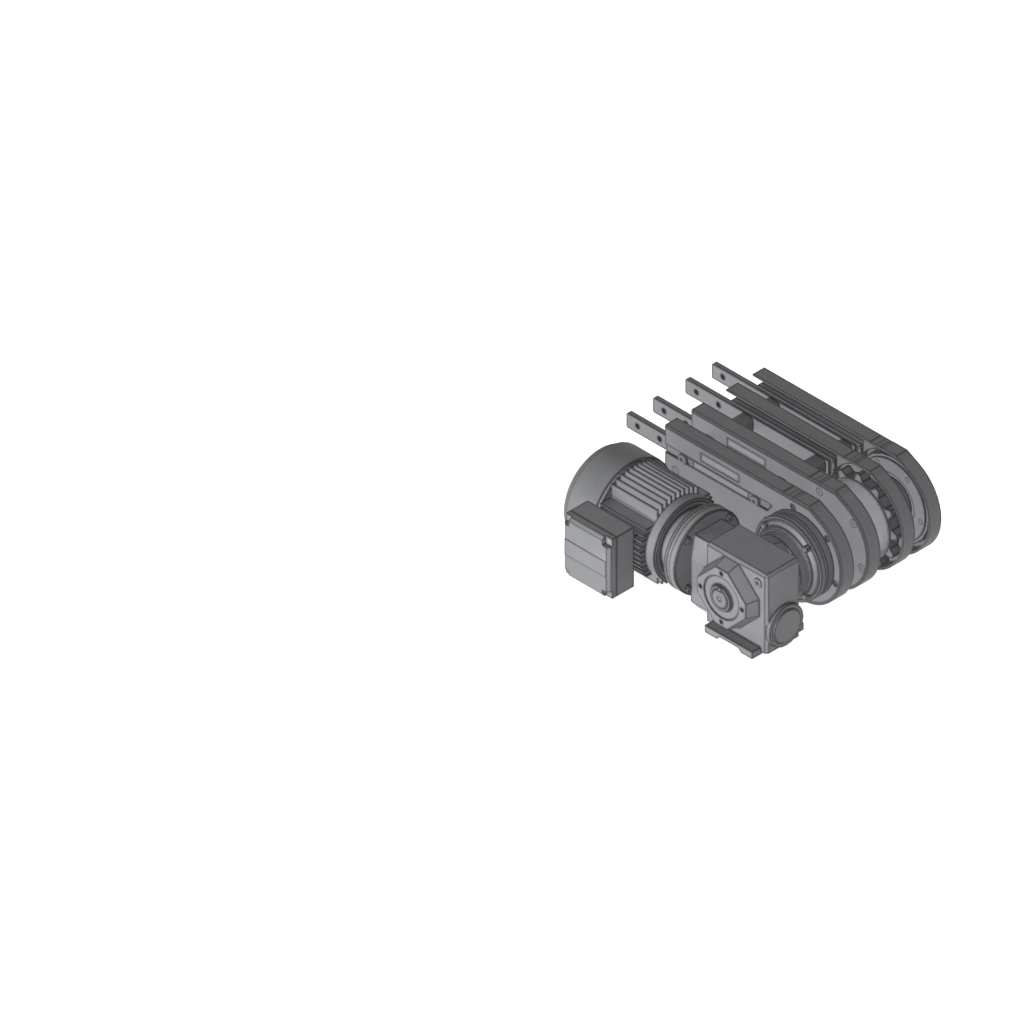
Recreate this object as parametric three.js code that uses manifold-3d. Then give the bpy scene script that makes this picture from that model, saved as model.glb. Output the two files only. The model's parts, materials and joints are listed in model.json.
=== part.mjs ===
// Head drive unit of a plastic-chain conveyor: four side halves carry slide rails and curved turn
// rails, a toothed drum sits between the inner two, and a helical-worm gearmotor drives its shaft.
// Millimetres. X runs along the conveyor towards the head, Y across it away from the gearmotor,
// Z up. Sizes are set out from the head shaft's axis at the middle of the track; the finished
// group is then moved so that its origin is the bottom centre of its bounding box.

import * as THREE from 'three';
import { mergeVertices } from 'three/addons/utils/BufferGeometryUtils.js';
import { ConvexGeometry } from 'three/addons/geometries/ConvexGeometry.js';
import Module from 'manifold-3d';

const wasm = await Module();
wasm.setup();

// ---------------------------------------------------------------- clearances
const SEAT = 0.1;              // between two faces that are bolted together
const RUNNING = 0.05;          // radial, shaft in bearing or seal
const BAND_GAP = 0.25;         // curved rail over its rim
const AIR_GAP = 0.5;           // rotor to stator core

// ---------------------------------------------------------------- track and side halves
const TRACK_WIDTH = 160;       // over the outer faces
const HALF_DEPTH = 19.4;       // one side half, outer face to inner edge of its rails
const DRIVE_GAP = 36;          // between the two inner halves, where the drum runs
const RUN_LENGTH = 219;        // joint with the conveyor beam to the head shaft
const RAIL_RISE = 68.4;        // head shaft up to the sliding surface
const SECTION_HEIGHT = 65;     // sliding surface down to the underside at the beam joint
const RAIL_THICK = 1.7;
const COVER_THICK = 2.8;
const RIM_THICK = 1.3;
const RIM_SETBACK = 0.8;       // rim edge behind the rails' inner edge
const HEAD_RADIUS = 65;        // cover plate around the head
const TURN_THICK = 1.25;
const CREASE_X = 12.5;         // the level top ends this far past the shaft
const SLOPE_X = 49 - RUN_LENGTH;   // the underside starts to fall towards the head here
const RAIL_JOINT_X = -29.6;    // slide rail meets turn rail
const CORNER_RADIUS = 12.5;
const BODY_DEPTH = 11.3;       // solid part of the half, measured from its outer face
const LEDGE_DROP = 19;         // sliding surface down to the body's ledge
const BODY_END_X = -51;
const HEAD_BODY_RADIUS = 58;
const COVER_SCREW_CIRCLE = 57.5;
const COVER_SCREW_HOLE = 2.7;
const COVER_SCREW_COUNT = 6;
const COVER_SCREW_START = 43;  // degrees above +X
const COVER_SCREW_DEPTH = 2;
const LABEL = { z: 52, length: 62, height: 11.6, depth: 0.6 };
const SLOT_HEIGHT = 10.7;
const SLOT_DEPTH = 1.9;
const SLOT_END_X = -47;
const SLOT_END_SLANT = 7.5;

// ---------------------------------------------------------------- connector bars and ties
const MID_Z = RAIL_RISE - SECTION_HEIGHT / 2;
const BAR_THICK = 6.7;
const BAR_HEIGHT = 20.4;
const BAR_INSET = 7.9;         // outer face of the half to the bar
const BAR_OVERHANG = 70.2;     // past the beam joint
const BAR_END_X = -58;
const BAR_CORNER = 2.2;
const BAR_HOLE = 3.3;
const BAR_HOLE_X = [-52.2, -16.6].map((past) => past - RUN_LENGTH);
const TIE_X = [30 - RUN_LENGTH, -72.3];
const TIE_RADIUS = 4;
const TIE_HOLE = 4.5;
const WASHER_RADIUS = 7.2;
const WASHER_THICK = 1.4;
const SPACER_SIDE = 20.5;
const SPACER_CORNER = 6;
const STRIP = { x0: TIE_X[0] + 15.3, x1: TIE_X[1] - 12.1, clearance: 0.3 };

// ---------------------------------------------------------------- head shaft and drum
const SHAFT_RADIUS = 12.5;
const SHAFT_NOSE = 47.4;       // gearbox middle to the shaft's free end
const SHAFT_TAIL = 77.5;       // track middle to the shaft's far end
const DRUM_RADIUS = 48.9;
const DRUM_WIDTH = 28.2;
const DRUM_WALL = 5;
const DRUM_WEB = 8;
const HUB_RADIUS = 20;
const TOOTH_COUNT = 12;
const TOOTH_TIP = 60.4;
const TOOTH_ROOT = 51.9;
const TOOTH_BASE = 6.6;        // half width at the root
const TOOTH_TOP = 3.4;         // half width at the tip
const TOOTH_CLEARANCE = 1.2;   // radial, teeth to the inner halves
const TOOTH_START = 2;         // degrees above +X, first tooth
const RING_WIDTH = 14;
const RING_POCKET = 9;
const HEAD_BEARING = { bore: SHAFT_RADIUS, outer: 23.5, width: 12 };
const HOUSING_RADIUS = 30.5;
const HOUSING_BORE = 26;

// ---------------------------------------------------------------- gearbox
const BOX_OFFSET = 163.8;      // track middle to gearbox middle
const BOX_X = [-39.9, 56.1];
const BOX_TOP = 48.8;
const BOX_FLOOR = 3.8;         // under the input gear's cavity
const BOX_HALF = 27.6;
const BOX_CHAMFER = 3.4;
const FACE_HALF = 44.7;        // gearbox middle to either flange face
const FACE_REACH = 39.2;       // flange outline: long and short vertex distances
const FACE_STEP = 10;
const FACE_GROWTH = 1.15;      // outline at the block against outline at the face
const FACE_RECESS = 28.3;
const FACE_RECESS_DEPTH = 1.2;
const FACE_HOLE = 2.6;
const FACE_HOLE_CIRCLE = 33.5;
const FACE_HOLE_DEPTH = 9;
const NECK_X = -66.1;          // left end of the housing, against the input flange
const NECK_TOP = 44.5;
const NECK_SHOULDER = 14;
const NECK_LOW = 14.1;         // above the housing's underside
const NECK_TOP_HALF = 22;
const NECK_BOTTOM_HALF = 16;
const HOLLOW_RADIUS = 16.5;
const HOLLOW_HALF = 47;        // gearbox middle to either end of the hollow shaft
const OUTPUT_BEARING = { outer: 27.5, width: 12, inset: 22 };
const SEAL = { outer: 28, width: 5, inset: 36 };
const WHEEL_CLEARANCE = 2;
const WHEEL_TEETH = 22;
const WHEEL_MODULE = 2;
const WHEEL_WIDTH = 18;
const WORM_PITCH_RADIUS = 9;
const WORM_ROOT = 6.5;
const WORM_TIP = 11;
const WORM_THREAD_HALF = 16;
const WORM_DROP = WORM_PITCH_RADIUS + WHEEL_TEETH * WHEEL_MODULE / 2;
const WORM_JOURNAL = 6;
const WORM_BEARING = { outer: 16, width: 10, inset: 36 };
const WORM_CAVITY = 13;
const CAP_BOSS_RADIUS = 27.4;
const CAP_BOSS_X = 60.6;
const CAP_RADIUS = 21.8;
const CAP_X = 62.7;
const CAP_DEPTH = 4;
const FOOT = { x0: -29.6, x1: 46.7, reach: 41.6, below: 3.7, height: 9.6 };
const FOOT_NOTCH = { x0: -10.3, x1: 28.5, depth: 4.6 };

// ---------------------------------------------------------------- input stage
const GEAR_MODULE = 1.5;
const PINION_TEETH = 22;
const GEAR_TEETH = 30;
const GEAR_X = [-61, -51];
const PINION_X = [-62.5, -49.5];
const MOTOR_RISE = GEAR_MODULE * (PINION_TEETH + GEAR_TEETH) / 2 - WORM_DROP;
const GEAR_CAVITY = GEAR_MODULE * (GEAR_TEETH / 2 + 1) + 1.3;
const PINION_CAVITY = GEAR_MODULE * (PINION_TEETH / 2 + 1) + 1.5;
const BOX_Z = [-WORM_DROP - GEAR_CAVITY - BOX_FLOOR, BOX_TOP];
const CAVITY_END_X = -46.5;
const TOOTH_SHARE = 0.42;      // tooth thickness as a share of the pitch, on all teeth
const PRESSURE_ANGLE = THREE.MathUtils.degToRad(20);

// ---------------------------------------------------------------- adapter flange to the track
const ADAPTER = { ring: 54.3, ringThick: 10.6, groove: 50, grooveThick: 2, face: 7.8, neck: 39 };
const ADAPTER_BORE = 32;
const ADAPTER_SPIGOT = 30;

// ---------------------------------------------------------------- motor
const FLANGE_RADIUS = 53.4;
const FLANGE_LEFT_X = -84.4;   // input flange, motor side
const SHIELD_X = -100.3;       // motor flange, gearbox side
const SHIELD_THICK = 13.6;
const SHIELD_NECK = 41;
const STATOR_X = [-188.7, -114];
const STATOR_BORE = 44.2;
const STATOR_SKIN = 48.6;
const FIN_REACH = 60.8;
const FIN_THICK = 2;
const FIN_PITCH = 7.15;
const FIN_COUNT = 10;          // in each bank
const FIN_SINK = 3;            // fin roots inside the body's skin
const CABLE_HOLE = 8;
const PEDESTAL = { reach: 65.3, z0: -20, z1: 25, inset: 10 };
const CORE = { x0: -178, x1: -125, outer: 44, bore: 27.5 };
const MOTOR_SHAFT = 7.5;
const MOTOR_BEARING = { outer: 17.5, width: 11 };
const FRONT_BEARING_X = -113;
const REAR_BEARING_X = -196;
const REAR_SHIELD = { x0: -197.5, x1: -188.8, radius: 57, hub: 23, hubX: -184 };
const SHAFT_REAR_X = -218;
const FAN = { x0: -216, x1: -201, hub: 13, disc: 30, tip: 54, blades: 8, thick: 2 };
const FAN_COVER = { x0: -234.8, x1: -188.9, radius: 64.8, wall: 2, bevel: 4.2, inlet: 9 };

// ---------------------------------------------------------------- terminal box
const TBOX = { x0: -194.4, x1: -119.7, z0: -33.4, z1: 49.5, back: 65.6, front: 93.5, wall: 3 };
const LID = { thick: 12.8, bevel: 4, notch: 10 };
const BAND = { z0: -3, z1: 19, rise: 0.6 };

// ---------------------------------------------------------------- materials
const FINISH = {
  casting: [0x97999d, 0.5, 0.6],
  rail: [0x4a4b4e, 0.45, 0],
  steel: [0xa4a6a9, 0.3, 1],
  polymer: [0x6d6f73, 0.5, 0],
  paint: [0x7c7e82, 0.45, 0.2],
  core: [0x5c5d60, 0.6, 0.8],
};
const CIRCLE = 20;             // segments of a running surface
const HOLE = 8;               // segments of a small hole
const LARGE = 32;              // segments of a large round outline

const unit = new THREE.Group();

function add(name, geometry, finish) {
  const [color, roughness, metalness] = FINISH[finish];
  const mesh = new THREE.Mesh(geometry, new THREE.MeshStandardMaterial({ color, roughness, metalness }));
  mesh.name = name;
  unit.add(mesh);
}

// ---------------------------------------------------------------- solids from three.js shapes

// Position-only geometry with shared vertices and its faces pointing out.
function welded(geometry) {
  const bare = new THREE.BufferGeometry();
  bare.setAttribute('position', geometry.getAttribute('position').clone());
  if (geometry.index) bare.setIndex(geometry.index.clone());
  const merged = mergeVertices(bare, 1e-4);
  const p = merged.getAttribute('position');
  const corner = (i) => new THREE.Vector3().fromBufferAttribute(p, i);
  const kept = [];
  let volume = 0;
  for (let i = 0; i < merged.index.count; i += 3) {
    const [a, b, c] = [0, 1, 2].map((k) => merged.index.getX(i + k));
    if (a === b || b === c || c === a) continue;
    volume += corner(a).dot(corner(b).cross(corner(c)));
    kept.push([a, b, c]);
  }
  merged.setIndex(kept.flatMap(([a, b, c]) => (volume < 0 ? [a, c, b] : [a, b, c])));
  return merged;
}

function solid(geometry) {
  const { index, attributes } = welded(geometry);
  const mesh = new wasm.Mesh({
    numProp: 3,
    vertProperties: Float32Array.from(attributes.position.array),
    triVerts: Uint32Array.from(index.array),
  });
  return new wasm.Manifold(mesh);
}

function shell(body) {
  const { vertProperties, triVerts } = body.getMesh();
  const geometry = new THREE.BufferGeometry();
  geometry.setAttribute('position', new THREE.Float32BufferAttribute(vertProperties, 3));
  geometry.setIndex([...triVerts]);
  return geometry;
}

function join(...geometries) {
  return geometries.map(solid).reduce((sum, next) => sum.add(next));
}

function cut(body, ...geometries) {
  return geometries.map(solid).reduce((rest, tool) => rest.subtract(tool), body);
}

// Maps a shape drawn in the XY plane and extruded along Z onto the planes used here.
const ONTO_Y = new THREE.Matrix4().set(1, 0, 0, 0, 0, 0, -1, 0, 0, 1, 0, 0, 0, 0, 0, 1);
const ONTO_X = new THREE.Matrix4().set(0, 0, 1, 0, 1, 0, 0, 0, 0, 1, 0, 0, 0, 0, 0, 1);

// A shape given in (x, z), from y0 to y1.
function alongY(shape, y0, y1, curveSegments = 12) {
  const geometry = new THREE.ExtrudeGeometry(shape, { depth: y1 - y0, bevelEnabled: false, curveSegments });
  return geometry.applyMatrix4(ONTO_Y).translate(0, y1, 0);
}

// A shape given in (y, z), from x0 to x1.
function alongX(shape, x0, x1, curveSegments = 12) {
  const geometry = new THREE.ExtrudeGeometry(shape, { depth: x1 - x0, bevelEnabled: false, curveSegments });
  return geometry.applyMatrix4(ONTO_X).translate(x0, 0, 0);
}

function polygon(points) {
  return new THREE.Shape(points.map(([a, b]) => new THREE.Vector2(a, b)));
}

function block(x0, x1, y0, y1, z0, z1) {
  const geometry = new THREE.BoxGeometry(x1 - x0, y1 - y0, z1 - z0);
  return geometry.translate((x0 + x1) / 2, (y0 + y1) / 2, (z0 + z1) / 2);
}

function rodY(radius, y0, y1, x = 0, z = 0, segments = CIRCLE) {
  return new THREE.CylinderGeometry(radius, radius, y1 - y0, segments).translate(x, (y0 + y1) / 2, z);
}

function rodX(radius, x0, x1, y = 0, z = 0, segments = CIRCLE) {
  const geometry = new THREE.CylinderGeometry(radius, radius, x1 - x0, segments);
  return geometry.rotateZ(-Math.PI / 2).translate((x0 + x1) / 2, y, z);
}

// A closed outline of [radius, distance along the axis] turned around Y or X.
function turnedY(outline, segments = CIRCLE) {
  const points = [...outline, outline[0]].map(([r, a]) => new THREE.Vector2(r, a));
  return welded(new THREE.LatheGeometry(points, segments));
}

function turnedX(outline, y, z, segments = CIRCLE) {
  return turnedY(outline, segments).rotateZ(-Math.PI / 2).translate(0, y, z);
}

// Vertex radius of a faceted bore whose flats clear a shaft.
function boreFor(radius, clearance = RUNNING) {
  return (radius + clearance) / Math.cos(Math.PI / CIRCLE);
}

function ringOutline(inner, outer, a0, a1) {
  return [[inner, a0], [outer, a0], [outer, a1], [inner, a1]];
}

function mirroredY(geometry) {
  return welded(geometry.clone().scale(1, -1, 1));
}

function tangentAngle(x, z, radius, side) {
  return Math.atan2(z, x) + side * Math.acos(radius / Math.hypot(x, z));
}

// ---------------------------------------------------------------- side halves

const COVER_TOP = RAIL_RISE - RAIL_THICK - SEAT;
const UNDERSIDE = RAIL_RISE - SECTION_HEIGHT;
const HEAD_SEGMENTS = 20;
const SLOPE_START = [SLOPE_X, UNDERSIDE];

// Side view of a half, drawn in by an inset; the left end can be moved to leave it open.
function halfOutline(inset, leftX, corner) {
  const top = COVER_TOP - inset;
  const bottom = UNDERSIDE + inset;
  const radius = HEAD_RADIUS - inset;
  const from = tangentAngle(CREASE_X, top, radius, -1);
  const to = tangentAngle(SLOPE_X, bottom, radius, 1);
  const shape = new THREE.Shape();
  shape.moveTo(leftX, top);
  shape.lineTo(CREASE_X, top);
  shape.absarc(0, 0, radius, from, to, true);
  shape.lineTo(SLOPE_X, bottom);
  shape.lineTo(leftX + corner, bottom);
  if (corner > 0) shape.absarc(leftX + corner, bottom + corner, corner, -Math.PI / 2, -Math.PI, true);
  return shape;
}

// The half is drawn with its outer face at y = 0 and its rails' inner edge at y = HALF_DEPTH.
function sidePlate(hasHeadBody) {
  const outline = halfOutline(0, -RUN_LENGTH, CORNER_RADIUS);
  const pocket = halfOutline(RIM_THICK, -RUN_LENGTH - CORNER_RADIUS, 0);
  const ledge = RAIL_RISE - LEDGE_DROP;
  let plate = cut(
    solid(alongY(outline, 0, HALF_DEPTH - RIM_SETBACK, HEAD_SEGMENTS)),
    alongY(pocket, COVER_THICK, HALF_DEPTH, HEAD_SEGMENTS),
  );
  const body = block(-RUN_LENGTH, BODY_END_X, COVER_THICK - 1, BODY_DEPTH, 2 * MID_Z - ledge, ledge);
  plate = plate.add(solid(body));
  if (hasHeadBody) {
    plate = plate.add(solid(rodY(HEAD_BODY_RADIUS, COVER_THICK - 1, BODY_DEPTH)));
  } else {
    plate = cut(plate, rodY(boreFor(TOOTH_TIP, TOOTH_CLEARANCE), COVER_THICK, HALF_DEPTH));
  }
  const barSeat = BAR_HEIGHT / 2 + SEAT;
  const slotLow = MID_Z - SLOT_HEIGHT / 2;
  const slotHigh = MID_Z + SLOT_HEIGHT / 2;
  const left = -RUN_LENGTH - 1;
  const slot = polygon([[left, slotLow], [SLOT_END_X - SLOT_END_SLANT, slotLow],
    [SLOT_END_X, slotHigh], [left, slotHigh]]);
  const labelX = (TIE_X[0] + TIE_X[1]) / 2;
  const labelHalf = LABEL.length / 2;
  const labelZ = LABEL.height / 2;
  plate = cut(
    plate,
    block(left, BAR_END_X + SEAT, BAR_INSET - SEAT, HALF_DEPTH, MID_Z - barSeat, MID_Z + barSeat),
    alongY(slot, -1, SLOT_DEPTH),
    block(labelX - labelHalf, labelX + labelHalf, -1, LABEL.depth, LABEL.z - labelZ, LABEL.z + labelZ),
    rodY(boreFor(SHAFT_RADIUS, 1), -1, HALF_DEPTH),
    ...TIE_X.map((x) => rodY(TIE_HOLE, -1, HALF_DEPTH, x, MID_Z, HOLE)),
  );
  for (let i = 0; i < COVER_SCREW_COUNT; i += 1) {
    const angle = THREE.MathUtils.degToRad(COVER_SCREW_START + 360 / COVER_SCREW_COUNT * i);
    const x = COVER_SCREW_CIRCLE * Math.cos(angle);
    const z = COVER_SCREW_CIRCLE * Math.sin(angle);
    plate = cut(plate, rodY(COVER_SCREW_HOLE, -1, COVER_SCREW_DEPTH, x, z, HOLE));
  }
  return shell(plate);
}

function slideRail() {
  const z0 = RAIL_RISE - RAIL_THICK;
  return block(-RUN_LENGTH, RAIL_JOINT_X - SEAT, 0, HALF_DEPTH, z0, RAIL_RISE);
}

// Band around the head: level stretch, short lead-in facet, then the arc back to the underside.
function turnRail() {
  const inner = HEAD_RADIUS + BAND_GAP;
  const outer = inner + TURN_THICK;
  const innerTop = RAIL_RISE - RAIL_THICK;
  const end = tangentAngle(...SLOPE_START, HEAD_RADIUS, 1);
  const shape = new THREE.Shape();
  shape.moveTo(RAIL_JOINT_X, RAIL_RISE);
  shape.lineTo(CREASE_X, RAIL_RISE);
  shape.absarc(0, 0, outer, tangentAngle(CREASE_X, RAIL_RISE, outer, -1), end, true);
  shape.absarc(0, 0, inner, end, tangentAngle(CREASE_X, innerTop, inner, -1), false);
  shape.lineTo(CREASE_X, innerTop);
  shape.lineTo(RAIL_JOINT_X, innerTop);
  return alongY(shape, 0, HALF_DEPTH, HEAD_SEGMENTS);
}

function roundedRectangle(x0, x1, z0, z1, radius) {
  const shape = new THREE.Shape();
  shape.moveTo(x0 + radius, z0);
  shape.absarc(x1 - radius, z0 + radius, radius, -Math.PI / 2, 0, false);
  shape.absarc(x1 - radius, z1 - radius, radius, 0, Math.PI / 2, false);
  shape.absarc(x0 + radius, z1 - radius, radius, Math.PI / 2, Math.PI, false);
  shape.absarc(x0 + radius, z0 + radius, radius, Math.PI, 1.5 * Math.PI, false);
  return shape;
}

function hole(shape, x, z, radius, segments = HOLE) {
  const circle = new THREE.Path();
  circle.setFromPoints(Array.from({ length: segments }, (_, i) => {
    const angle = -2 * Math.PI * i / segments;
    return new THREE.Vector2(x + radius * Math.cos(angle), z + radius * Math.sin(angle));
  }));
  shape.holes.push(circle);
}

function connectorBar() {
  const left = -RUN_LENGTH - BAR_OVERHANG;
  const half = BAR_HEIGHT / 2;
  const shape = roundedRectangle(left, BAR_END_X, MID_Z - half, MID_Z + half, BAR_CORNER);
  BAR_HOLE_X.forEach((x) => hole(shape, x, MID_Z, BAR_HOLE));
  TIE_X.forEach((x) => hole(shape, x, MID_Z, TIE_HOLE));
  return alongY(shape, BAR_INSET, BAR_INSET + BAR_THICK, 3);
}

const SIDE_GAP = (TRACK_WIDTH - 4 * HALF_DEPTH - DRIVE_GAP) / 2;
const OUTER_FACE = TRACK_WIDTH / 2;
const INNER_FACE = DRIVE_GAP / 2 + HALF_DEPTH;

// Halves 1 and 2 turn their covers towards the gearmotor, 3 and 4 are their mirror images.
function sideHalves() {
  const halves = [
    { number: 1, y: -OUTER_FACE, mirror: false, head: true },
    { number: 2, y: -INNER_FACE, mirror: false, head: false },
    { number: 3, y: INNER_FACE, mirror: true, head: false },
    { number: 4, y: OUTER_FACE, mirror: true, head: true },
  ];
  for (const { number, y, mirror, head } of halves) {
    const place = (geometry) => (mirror ? mirroredY(geometry) : geometry).translate(0, y, 0);
    add(`side_plate_${number}`, place(sidePlate(head)), 'casting');
    add(`slide_rail_${number}`, place(slideRail()), 'rail');
    add(`turn_rail_${number}`, place(turnRail()), 'rail');
    add(`connector_bar_${number}`, place(connectorBar()), 'casting');
  }
}

// Blocks on the tie bolts hold the halves apart.
function spacers() {
  const barFace = BAR_INSET + BAR_THICK + SEAT;
  const spans = [
    [-OUTER_FACE + barFace, -INNER_FACE - SEAT],
    [-INNER_FACE + barFace, INNER_FACE - barFace],
    [INNER_FACE + SEAT, OUTER_FACE - barFace],
  ];
  const half = SPACER_SIDE / 2;
  spans.forEach(([y0, y1], gap) => {
    TIE_X.forEach((x, row) => {
      const shape = roundedRectangle(x - half, x + half, MID_Z - half, MID_Z + half, SPACER_CORNER);
      hole(shape, x, MID_Z, TIE_HOLE);
      add(`cross_spacer_${gap + 1}${'ab'[row]}`, alongY(shape, y0, y1, 4), 'casting');
    });
  });
}

function tieBolts() {
  const seat = OUTER_FACE + SEAT;
  const end = seat + WASHER_THICK;
  TIE_X.forEach((x, row) => {
    const bolt = join(
      rodY(TIE_RADIUS, 1 - end, end - 1, x, MID_Z, HOLE),
      rodY(WASHER_RADIUS, seat, end, x, MID_Z, CIRCLE),
      rodY(WASHER_RADIUS, -end, -seat, x, MID_Z, CIRCLE),
    );
    add(`tie_bolt_${row + 1}`, shell(bolt), 'steel');
  });
}

// Cover strip that closes the first half's slot between the tie bolts.
function slotStrip() {
  const half = SLOT_HEIGHT / 2 - STRIP.clearance;
  const strip = block(STRIP.x0, STRIP.x1, 0, SLOT_DEPTH - SEAT, MID_Z - half, MID_Z + half);
  add('slot_strip', strip.translate(0, -OUTER_FACE, 0), 'polymer');
}

// ---------------------------------------------------------------- head shaft and drum

function driveShaft() {
  add('drive_shaft', rodY(SHAFT_RADIUS, -BOX_OFFSET - SHAFT_NOSE, SHAFT_TAIL), 'steel');
}

function drum() {
  const half = DRUM_WIDTH / 2;
  const web = DRUM_WEB / 2;
  const rim = DRUM_RADIUS - DRUM_WALL;
  add('drum', turnedY([
    [boreFor(SHAFT_RADIUS), -half], [HUB_RADIUS, -half], [HUB_RADIUS, -web], [rim, -web],
    [rim, -half], [DRUM_RADIUS, -half], [DRUM_RADIUS, half], [rim, half],
    [rim, web], [HUB_RADIUS, web], [HUB_RADIUS, half], [boreFor(SHAFT_RADIUS), half],
  ]), 'polymer');
}

function sprocketRing() {
  const outline = [];
  for (let i = 0; i < TOOTH_COUNT; i += 1) {
    const angle = THREE.MathUtils.degToRad(TOOTH_START) + 2 * Math.PI * i / TOOTH_COUNT;
    const along = new THREE.Vector2(Math.cos(angle), Math.sin(angle));
    const across = new THREE.Vector2(-along.y, along.x);
    const corner = (radius, side) => [
      radius * along.x + side * across.x,
      radius * along.y + side * across.y,
    ];
    const valley = (turn) => {
      const at = angle + turn;
      return [TOOTH_ROOT * Math.cos(at), TOOTH_ROOT * Math.sin(at)];
    };
    outline.push(valley(-0.8 * Math.PI / TOOTH_COUNT), corner(TOOTH_ROOT, -TOOTH_BASE));
    outline.push(corner(TOOTH_TIP - 1.5, -TOOTH_TOP - 0.6), corner(TOOTH_TIP, -TOOTH_TOP + 0.9));
    outline.push(corner(TOOTH_TIP, TOOTH_TOP - 0.9), corner(TOOTH_TIP - 1.5, TOOTH_TOP + 0.6));
    outline.push(corner(TOOTH_ROOT, TOOTH_BASE), valley(0.8 * Math.PI / TOOTH_COUNT));
  }
  const y0 = DRUM_WIDTH / 2 + SEAT;
  const pocket = turnedY(ringOutline(HUB_RADIUS, TOOTH_ROOT - DRUM_WALL, y0 + RING_WIDTH - RING_POCKET,
    y0 + RING_WIDTH + 1));
  return shell(cut(
    solid(alongY(polygon(outline), y0, y0 + RING_WIDTH)),
    rodY(boreFor(SHAFT_RADIUS), y0 - 1, y0 + RING_WIDTH + 1),
    pocket,
  ));
}

// Bearing housings span from each outer half to the cover of the inner half beside it.
function headBearings() {
  const near = INNER_FACE + SEAT;
  const far = OUTER_FACE - BODY_DEPTH - SEAT;
  const shoulder = far - HEAD_BEARING.width - SEAT;
  const bore = HEAD_BEARING.outer + SEAT;
  const housing = () => turnedY([
    [HOUSING_BORE, near], [HOUSING_RADIUS, near], [HOUSING_RADIUS, far], [bore, far],
    [bore, shoulder], [bore - 3, shoulder], [bore - 3, shoulder - 3], [HOUSING_BORE, shoulder - 3],
  ]);
  const bearing = () => turnedY(ringOutline(boreFor(HEAD_BEARING.bore), HEAD_BEARING.outer,
    far - HEAD_BEARING.width, far));
  add('bearing_housing_1', mirroredY(housing()), 'casting');
  add('bearing_housing_2', housing(), 'casting');
  add('head_bearing_1', mirroredY(bearing()), 'steel');
  add('head_bearing_2', bearing(), 'steel');
}

// ---------------------------------------------------------------- gears

// Toothed outline with involute flanks; tooth 0 points along the shape's first axis.
function gearOutline(teeth, module, turn = 0) {
  const pitch = teeth * module / 2;
  const base = pitch * Math.cos(PRESSURE_ANGLE);
  const involute = (angle) => Math.tan(angle) - angle;
  const halfAngle = (radius) => TOOTH_SHARE * Math.PI / teeth + involute(PRESSURE_ANGLE)
    - involute(Math.acos(Math.min(1, base / radius)));
  const radii = [pitch - 1.25 * module, pitch, pitch + module];
  const points = [];
  for (let i = 0; i < teeth; i += 1) {
    const middle = turn + 2 * Math.PI * i / teeth;
    const place = (radius, side) => {
      const angle = middle + side * halfAngle(radius);
      return [radius * Math.cos(angle), radius * Math.sin(angle)];
    };
    points.push(...radii.map((radius) => place(radius, -1)));
    points.push(...[...radii].reverse().map((radius) => place(radius, 1)));
  }
  return polygon(points);
}

// Turns each slice of a gear about Y in step with its distance from the gear's middle.
function twistedY(geometry, perMillimetre) {
  const p = geometry.getAttribute('position');
  for (let i = 0; i < p.count; i += 1) {
    const point = new THREE.Vector3().fromBufferAttribute(p, i);
    point.applyAxisAngle(new THREE.Vector3(0, 1, 0), perMillimetre * point.y);
    p.setXYZ(i, point.x, point.y, point.z);
  }
  return geometry;
}

// The worm's thread path, with its section's outward direction kept radial.
class Helix extends THREE.Curve {
  getPoint(t) {
    const turns = 2 * WORM_THREAD_HALF / (Math.PI * WHEEL_MODULE);
    const angle = Math.PI / 2 + 2 * Math.PI * turns * (t - 0.5);
    const x = 2 * WORM_THREAD_HALF * (t - 0.5);
    return new THREE.Vector3(x, WORM_PITCH_RADIUS * Math.cos(angle), WORM_PITCH_RADIUS * Math.sin(angle));
  }

  computeFrenetFrames(segments) {
    const frames = { tangents: [], normals: [], binormals: [] };
    for (let i = 0; i <= segments; i += 1) {
      const { y, z } = this.getPoint(i / segments);
      frames.normals.push(new THREE.Vector3(0, y, z).normalize());
      frames.binormals.push(new THREE.Vector3(1, 0, 0));
      frames.tangents.push(new THREE.Vector3(0, -z, y).normalize());
    }
    return frames;
  }
}

function wormThread() {
  const middle = TOOTH_SHARE * Math.PI * WHEEL_MODULE / 2;
  const halfAt = (radius) => middle - (radius - WORM_PITCH_RADIUS) * Math.tan(PRESSURE_ANGLE);
  const section = [WORM_ROOT - 0.6, WORM_TIP].map((radius) => [radius - WORM_PITCH_RADIUS, halfAt(radius)]);
  const [[low, wide], [high, narrow]] = section;
  const shape = polygon([[low, -wide], [high, -narrow], [high, narrow], [low, wide]]);
  return new THREE.ExtrudeGeometry(shape, { steps: 51, bevelEnabled: false, extrudePath: new Helix() });
}

function wheelTrain() {
  const wheel = new THREE.ExtrudeGeometry(gearOutline(WHEEL_TEETH, WHEEL_MODULE),
    { depth: WHEEL_WIDTH, steps: 2, bevelEnabled: false });
  wheel.applyMatrix4(ONTO_Y).translate(0, WHEEL_WIDTH / 2, 0);
  const lean = 1 / (WORM_PITCH_RADIUS * WHEEL_TEETH * WHEEL_MODULE / 2);
  const bored = cut(solid(twistedY(wheel, lean)), rodY(boreFor(HOLLOW_RADIUS), -WHEEL_WIDTH, WHEEL_WIDTH));
  add('worm_wheel', shell(bored).translate(0, -BOX_OFFSET, 0), 'steel');
  const hollow = ringOutline(boreFor(SHAFT_RADIUS), HOLLOW_RADIUS, -HOLLOW_HALF, HOLLOW_HALF);
  add('hollow_shaft', turnedY(hollow).translate(0, -BOX_OFFSET, 0), 'steel');
}

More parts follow.
